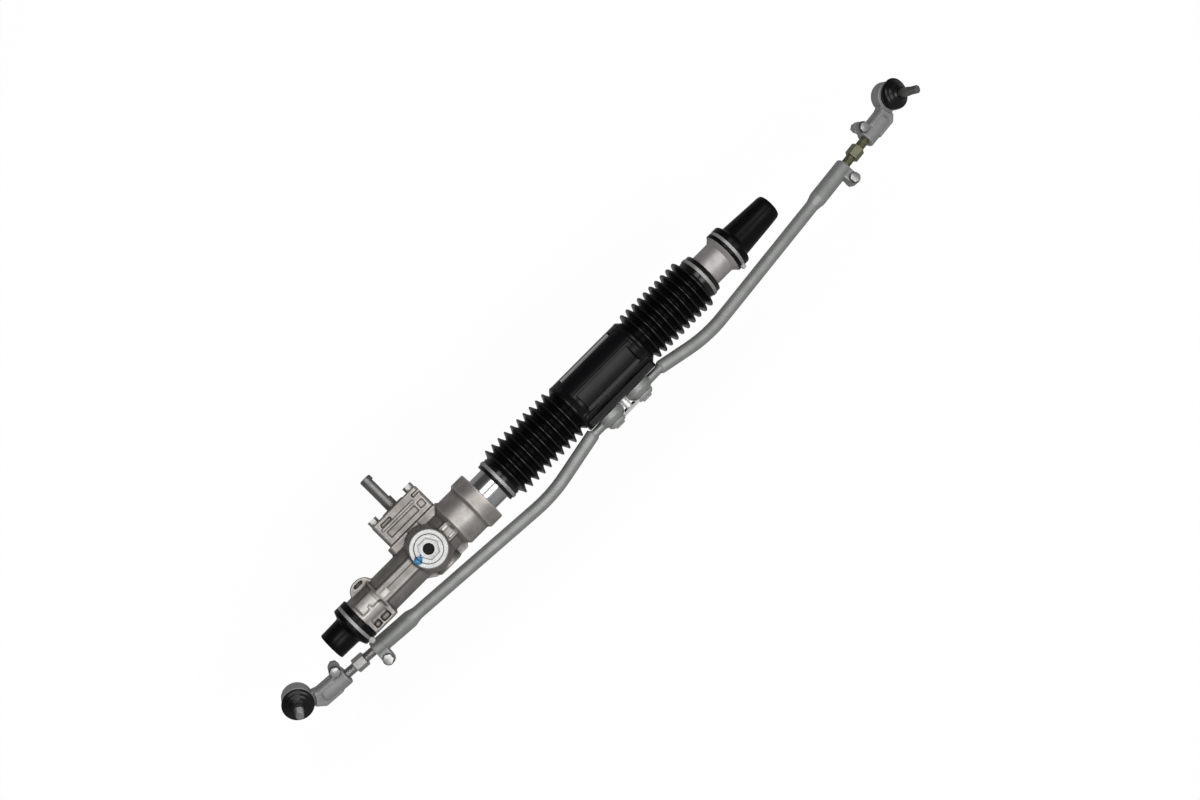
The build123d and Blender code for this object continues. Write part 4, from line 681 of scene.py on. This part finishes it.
# Tie rods with their outer ends. Forged steel, painted thinly in grey, each with a rubber-bushed eye
# at the rack and a split end that clamps the adjuster. Both droop a little under their own weight.
droop, end_roll = radians(6.0), radians(19.0)
forging_face, ball_reach = 375.3, 74
rod_pinch_place, end_pinch_place = (317, -22, 0), (7.5, 18, 0)
sides = {
    "left": dict(bolt=left_bolt, far=(135.5, -68.4), slope=radians(4.18), aside=18.4, out=0.0, down=0.0,
                 hand=-1),
    "right": dict(bolt=right_bolt, far=(123.9, -65.8), slope=radians(5.6), aside=13.8, out=radians(18),
                  down=radians(9), hand=1),
}


def turned_z(outline, steps=96):
    """Surface turned about Z from (radius, z) points in millimetres."""
    work = turned([(z, r) for r, z in outline], steps)
    bmesh.ops.rotate(work, matrix=Matrix.Rotation(radians(-90), 3, "Y"), verts=work.verts)
    return work


washer_steel = finish("washer_steel", (0.10, 0.10, 0.10), (0.07, 0.07, 0.07), 0.7, 0.4, 9, 0.8, 0.012)
# Painted shade and highlight: pointiness darkens the painted forgings' hollows to 0.55 and lightens their ridges 1.2
# times.
grey_paint = finish("grey_paint", (0.315, 0.315, 0.318), (0.265, 0.265, 0.268), 0.35, 0.5, 18, 1.2, 0.02,
                    edges=(0.55, 1.2))


def pinch(name, body, place, node):
    """Bolt and nut of a split clamp, on the Z axis of its place, with a dark washer under the head."""
    work = bmesh.new()
    head, nut, shank = (12.7, 3.8, 7.9, 6), (-12.3, 6.5, 7.5, 6), (-3.3, 27.4, 4.0, 32)
    for z, depth, r, segments in (head, nut, shank):
        form = bmesh.ops.create_cone(work, cap_ends=True, segments=segments, radius1=r, radius2=r, depth=depth)
        bmesh.ops.translate(work, vec=(0, 0, z), verts=form["verts"])
        broken(work, square_to(2, form["verts"]), 0.7)
    keep(name, settle(work, name, place, sharp=25), body, plated, [node])
    washer = turned_z([(4.1, 9.05), (8.4, 9.05), (8.5, 9.3), (8.5, 10.5), (8.2, 10.8), (4.1, 10.8)], 64)
    keep(name + "_washer", settle(washer, name + "_washer", place), body, washer_steel, [])


for side, at in sides.items():
    sway = Matrix.Rotation(droop, 4, "Y")
    if at["hand"] < 0:
        sway = Matrix.Scale(-1, 4, (1, 0, 0)) @ sway
    at["rod_plane"] = Matrix.Translation((at["bolt"], 0, 0)) @ sway
    at["rod"] = at["rod_plane"] @ Matrix.Translation((*at["far"], 0)) @ Matrix.Rotation(at["slope"], 4, "Z")
    at["end"] = at["rod"] @ Matrix.Translation((forging_face, 0, 0)) @ Matrix.Rotation(end_roll, 4, "X")
    at["ball"] = at["end"] @ Matrix.Translation((ball_reach, at["aside"], 0))
    eye_skin = spoked(turned([(-43.5, 14.55), (-43.5, 20.3), (-44.0, 20.8), (-50.8, 20.6), (-52.6, 19.8),
                              (-58.3, 15.2), (-58.7, 14.2), (-58.6, 9.2), (-54.5, 9.2)], 96), (0, 0, 0))
    neck = bmesh.new()
    reach = 35.0 if side == "left" else 41.5
    bmesh.ops.create_cone(neck, cap_ends=True, segments=64, radius1=1, radius2=0.94, depth=1)
    bmesh.ops.rotate(neck, matrix=Matrix.Rotation(radians(90), 3, "Y"), verts=neck.verts)
    bmesh.ops.scale(neck, vec=(reach - 14, 6.6, 11.4), verts=neck.verts)
    bmesh.ops.translate(neck, vec=((reach + 14) / 2, -50.2, 0), verts=neck.verts)
    cast(side + "_rod", side + "_tie_rod", side + "_rod", forged, 1.0, 4, fuller=(
        settle(eye_skin, side + "_eye", at["rod_plane"]), settle(neck, side + "_neck", at["rod_plane"])))
    bush = spoked(turned([(-43.6, 8.56), (-43.4, 12.9), (-43.9, 14.1), (-44.6, 14.45), (-54.0, 14.45), (-54.3, 13.9),
                          (-54.3, 8.56)], 96), (0, 0, 0))
    keep(side + "_bush", settle(bush, side + "_bush", at["rod_plane"]), side + "_rod", rubber,
         [side + "_rod_bush"])
    cast(side + "_forging", side + "_end_forging", side + "_end", grey_paint, 0.7, 4)
    for node, body, paint, slot in (
        ("ball_seat", "end", nylon, "white_plastic"),
        ("closing_plate", "end", plated, "plain_steel"), ("boot_base_ring", "end", forged, "plain_steel"),
    ):
        dressed(f"{side}_{node}", f"{side}_{body}", paint, bevel=0.25)
    pinch(side + "_rod_pinch", side + "_rod", at["rod"] @ Matrix.Translation(rod_pinch_place),
          side + "_rod_pinch_bolt")
    pinch(side + "_end_pinch", side + "_end", at["end"] @ Matrix.Translation(end_pinch_place),
          side + "_end_pinch_bolt")


# Adjusters. Turned studs with a rolled thread at each end and a hexagon between, zinc plated: bright on
# the left, yellowish on the right.
zinc = finish("zinc_steel", (0.29, 0.29, 0.19), (0.20, 0.20, 0.13), 0.8, 0.40, 7, 0.7, 0.02)


def threaded(work, x0, x1, radius, pitch):
    """Helical thread along X, run out flat at its ends."""
    depth = 0.6 * pitch
    profile = [(0, radius - depth), (0.12, radius - depth), (0.44, radius), (0.56, radius), (0.88, radius - depth),
               (1, radius - depth)]
    points = [work.verts.new((x0 - pitch + pitch * a, r, 0)) for a, r in profile]
    edges = [work.edges.new(pair) for pair in zip(points, points[1:])]
    turns = int((x1 - x0) / pitch) + 1
    bmesh.ops.spin(work, geom=points + edges, cent=(0, 0, 0), dvec=(pitch / 32, 0, 0), axis=(1, 0, 0),
                   angle=2 * pi * turns, steps=32 * turns)
    bmesh.ops.remove_doubles(work, verts=work.verts, dist=0.002)
    for edge_x, normal in ((x0, (-1, 0, 0)), (x0 + pitch * (turns - 1), (1, 0, 0))):
        bmesh.ops.bisect_plane(work, geom=work.verts[:] + work.edges[:] + work.faces[:], plane_co=(edge_x, 0, 0),
                               plane_no=normal, clear_outer=True, dist=0.0001)
    bmesh.ops.holes_fill(work, edges=[e for e in work.edges if len(e.link_faces) == 1], sides=0)
    return work


for side, at in sides.items():
    metal, slot = (plated, "plated_steel") if side == "left" else (zinc, "zinc_steel")
    stud = threaded(bmesh.new(), 287.0, 405.3, 7.0, 1.5)
    mesh = settle(stud, side + "_adjuster_thread", at["rod"], sharp=40)
    keep(side + "_adjuster_thread", mesh, side + "_adjuster", metal, [side + "_adjuster"])
    nut = bmesh.new()
    bmesh.ops.create_cone(nut, cap_ends=True, segments=6, radius1=10.97, radius2=10.97, depth=18.4)
    bmesh.ops.rotate(nut, matrix=Matrix.Rotation(radians(90), 3, "Y"), verts=nut.verts)
    bmesh.ops.translate(nut, vec=(350.4, 0, 0), verts=nut.verts)
    broken(nut, square_to(0, nut.verts), 1.0)
    mesh = settle(nut, side + "_adjuster_hexagon", at["rod"], sharp=20)
    piece = keep(side + "_adjuster_hexagon", mesh, side + "_adjuster", metal, [])
    edge = piece.modifiers.new("broken_edge", "BEVEL")
    edge.width, edge.segments, edge.angle_limit = 0.0003, 2, radians(25)


# Ball studs and dust boots. The stud is turned steel with a taper for the steering arm and an M12
# thread. The boot is soft rubber with ring folds, held on the socket by a wire and on the stud by a lip.
def smooth_step(z, low, high):
    """Goes gently from 0 at low to 1 at high."""
    t = min(max((z - low) / (high - low), 0), 1)
    return t * t * (3 - 2 * t)


fold_start, fold_middle, fold_end = 9.0, 16.0, 23.5
boot_rubber = finish("boot_rubber", (0.0034, 0.0034, 0.0038), (0.002, 0.002, 0.0024), 0.0, 0.24, 18, 0.8, 0.01,
                     gleam=0.3)
for side, at in sides.items():
    tilt = Matrix.Rotation(at["out"], 4, "Y") @ Matrix.Rotation(at["down"], 4, "X")
    stem = [(0, -13.5)]
    for k in range(1, 23):
        angle = radians(-90 + 7 * k)
        stem.append((13.5 * cos(angle), 13.5 * sin(angle)))
    stem += [(6.5, 12.4), (6.5, 18), (7.6, 21), (6.5, 38), (5.3, 38.6), (5.3, 40), (0, 40)]
    mesh = settle(turned_z(stem), side + "_ball", at["ball"] @ tilt, sharp=30)
    keep(side + "_ball", mesh, side + "_stud", dark_steel, [side + "_ball_stud"])
    tip = threaded(bmesh.new(), 39.0, 53.8, 6.0, 1.25)
    bmesh.ops.rotate(tip, matrix=Matrix.Rotation(radians(-90), 3, "Y"), verts=tip.verts)
    mesh = settle(tip, side + "_stud_thread", at["ball"] @ tilt, sharp=40)
    keep(side + "_stud_thread", mesh, side + "_stud", dark_steel, [])

    ring = turned_z([(7.7, 24.0), (9.3, 24.0), (9.9, 24.4), (10.0, 25.0), (9.8, 25.6), (9.2, 25.95), (7.7, 25.95)])
    mesh = settle(ring, side + "_boot_ring", at["ball"] @ tilt, sharp=50)
    keep(side + "_boot_ring", mesh, side + "_boot_top", boot_rubber, [side + "_boot_top_ring"])

    lower_outer = [(19.1, 7.2), (19.25, 9.8), (19.6, 10.3), (21.8, 11.4), (22.5, 13.0), (22.8, 14.6), (22.2, 16.0)]
    lower_inner = [(20.2, 15.6), (20.8, 14.4), (20.6, 13.3), (19.0, 12.4), (17.6, 10.8), (17.55, 7.2)]
    upper_outer = [(22.2, 16.0), (21.0, 17.3), (19.0, 18.0), (18.3, 18.1), (17.6, 18.7), (16.4, 19.9), (14.8, 20.8),
                   (13.9, 20.9), (12.9, 21.5), (11.4, 22.9), (10.2, 23.6), (9.7, 23.9)]
    upper_inner = [(8.2, 23.4), (9.6, 22.3), (11.6, 20.9), (13.4, 19.7), (15.2, 18.2), (17.4, 16.9), (20.2, 15.6)]
    for part, outline in (("lower", lower_outer + lower_inner), ("upper", upper_outer + upper_inner)):
        work = turned_z(outline, 96)
        bmesh.ops.recalc_face_normals(work, faces=work.faces)
        for vert in work.verts:
            lean_out = at["out"] * smooth_step(vert.co.z, fold_start, fold_middle)
            lean_down = at["down"] * smooth_step(vert.co.z, fold_middle, fold_end)
            vert.co = Matrix.Rotation(lean_out, 3, "Y") @ Matrix.Rotation(lean_down, 3, "X") @ vert.co
        name = f"{side}_dust_boot_{part}"
        mesh = settle(work, name, at["ball"], sharp=60)
        piece = keep(name, mesh, None, boot_rubber, [side + "_dust_boot"] if part == "lower" else [])
        if part == "lower":
            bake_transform(piece)
        else:
            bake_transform(piece)
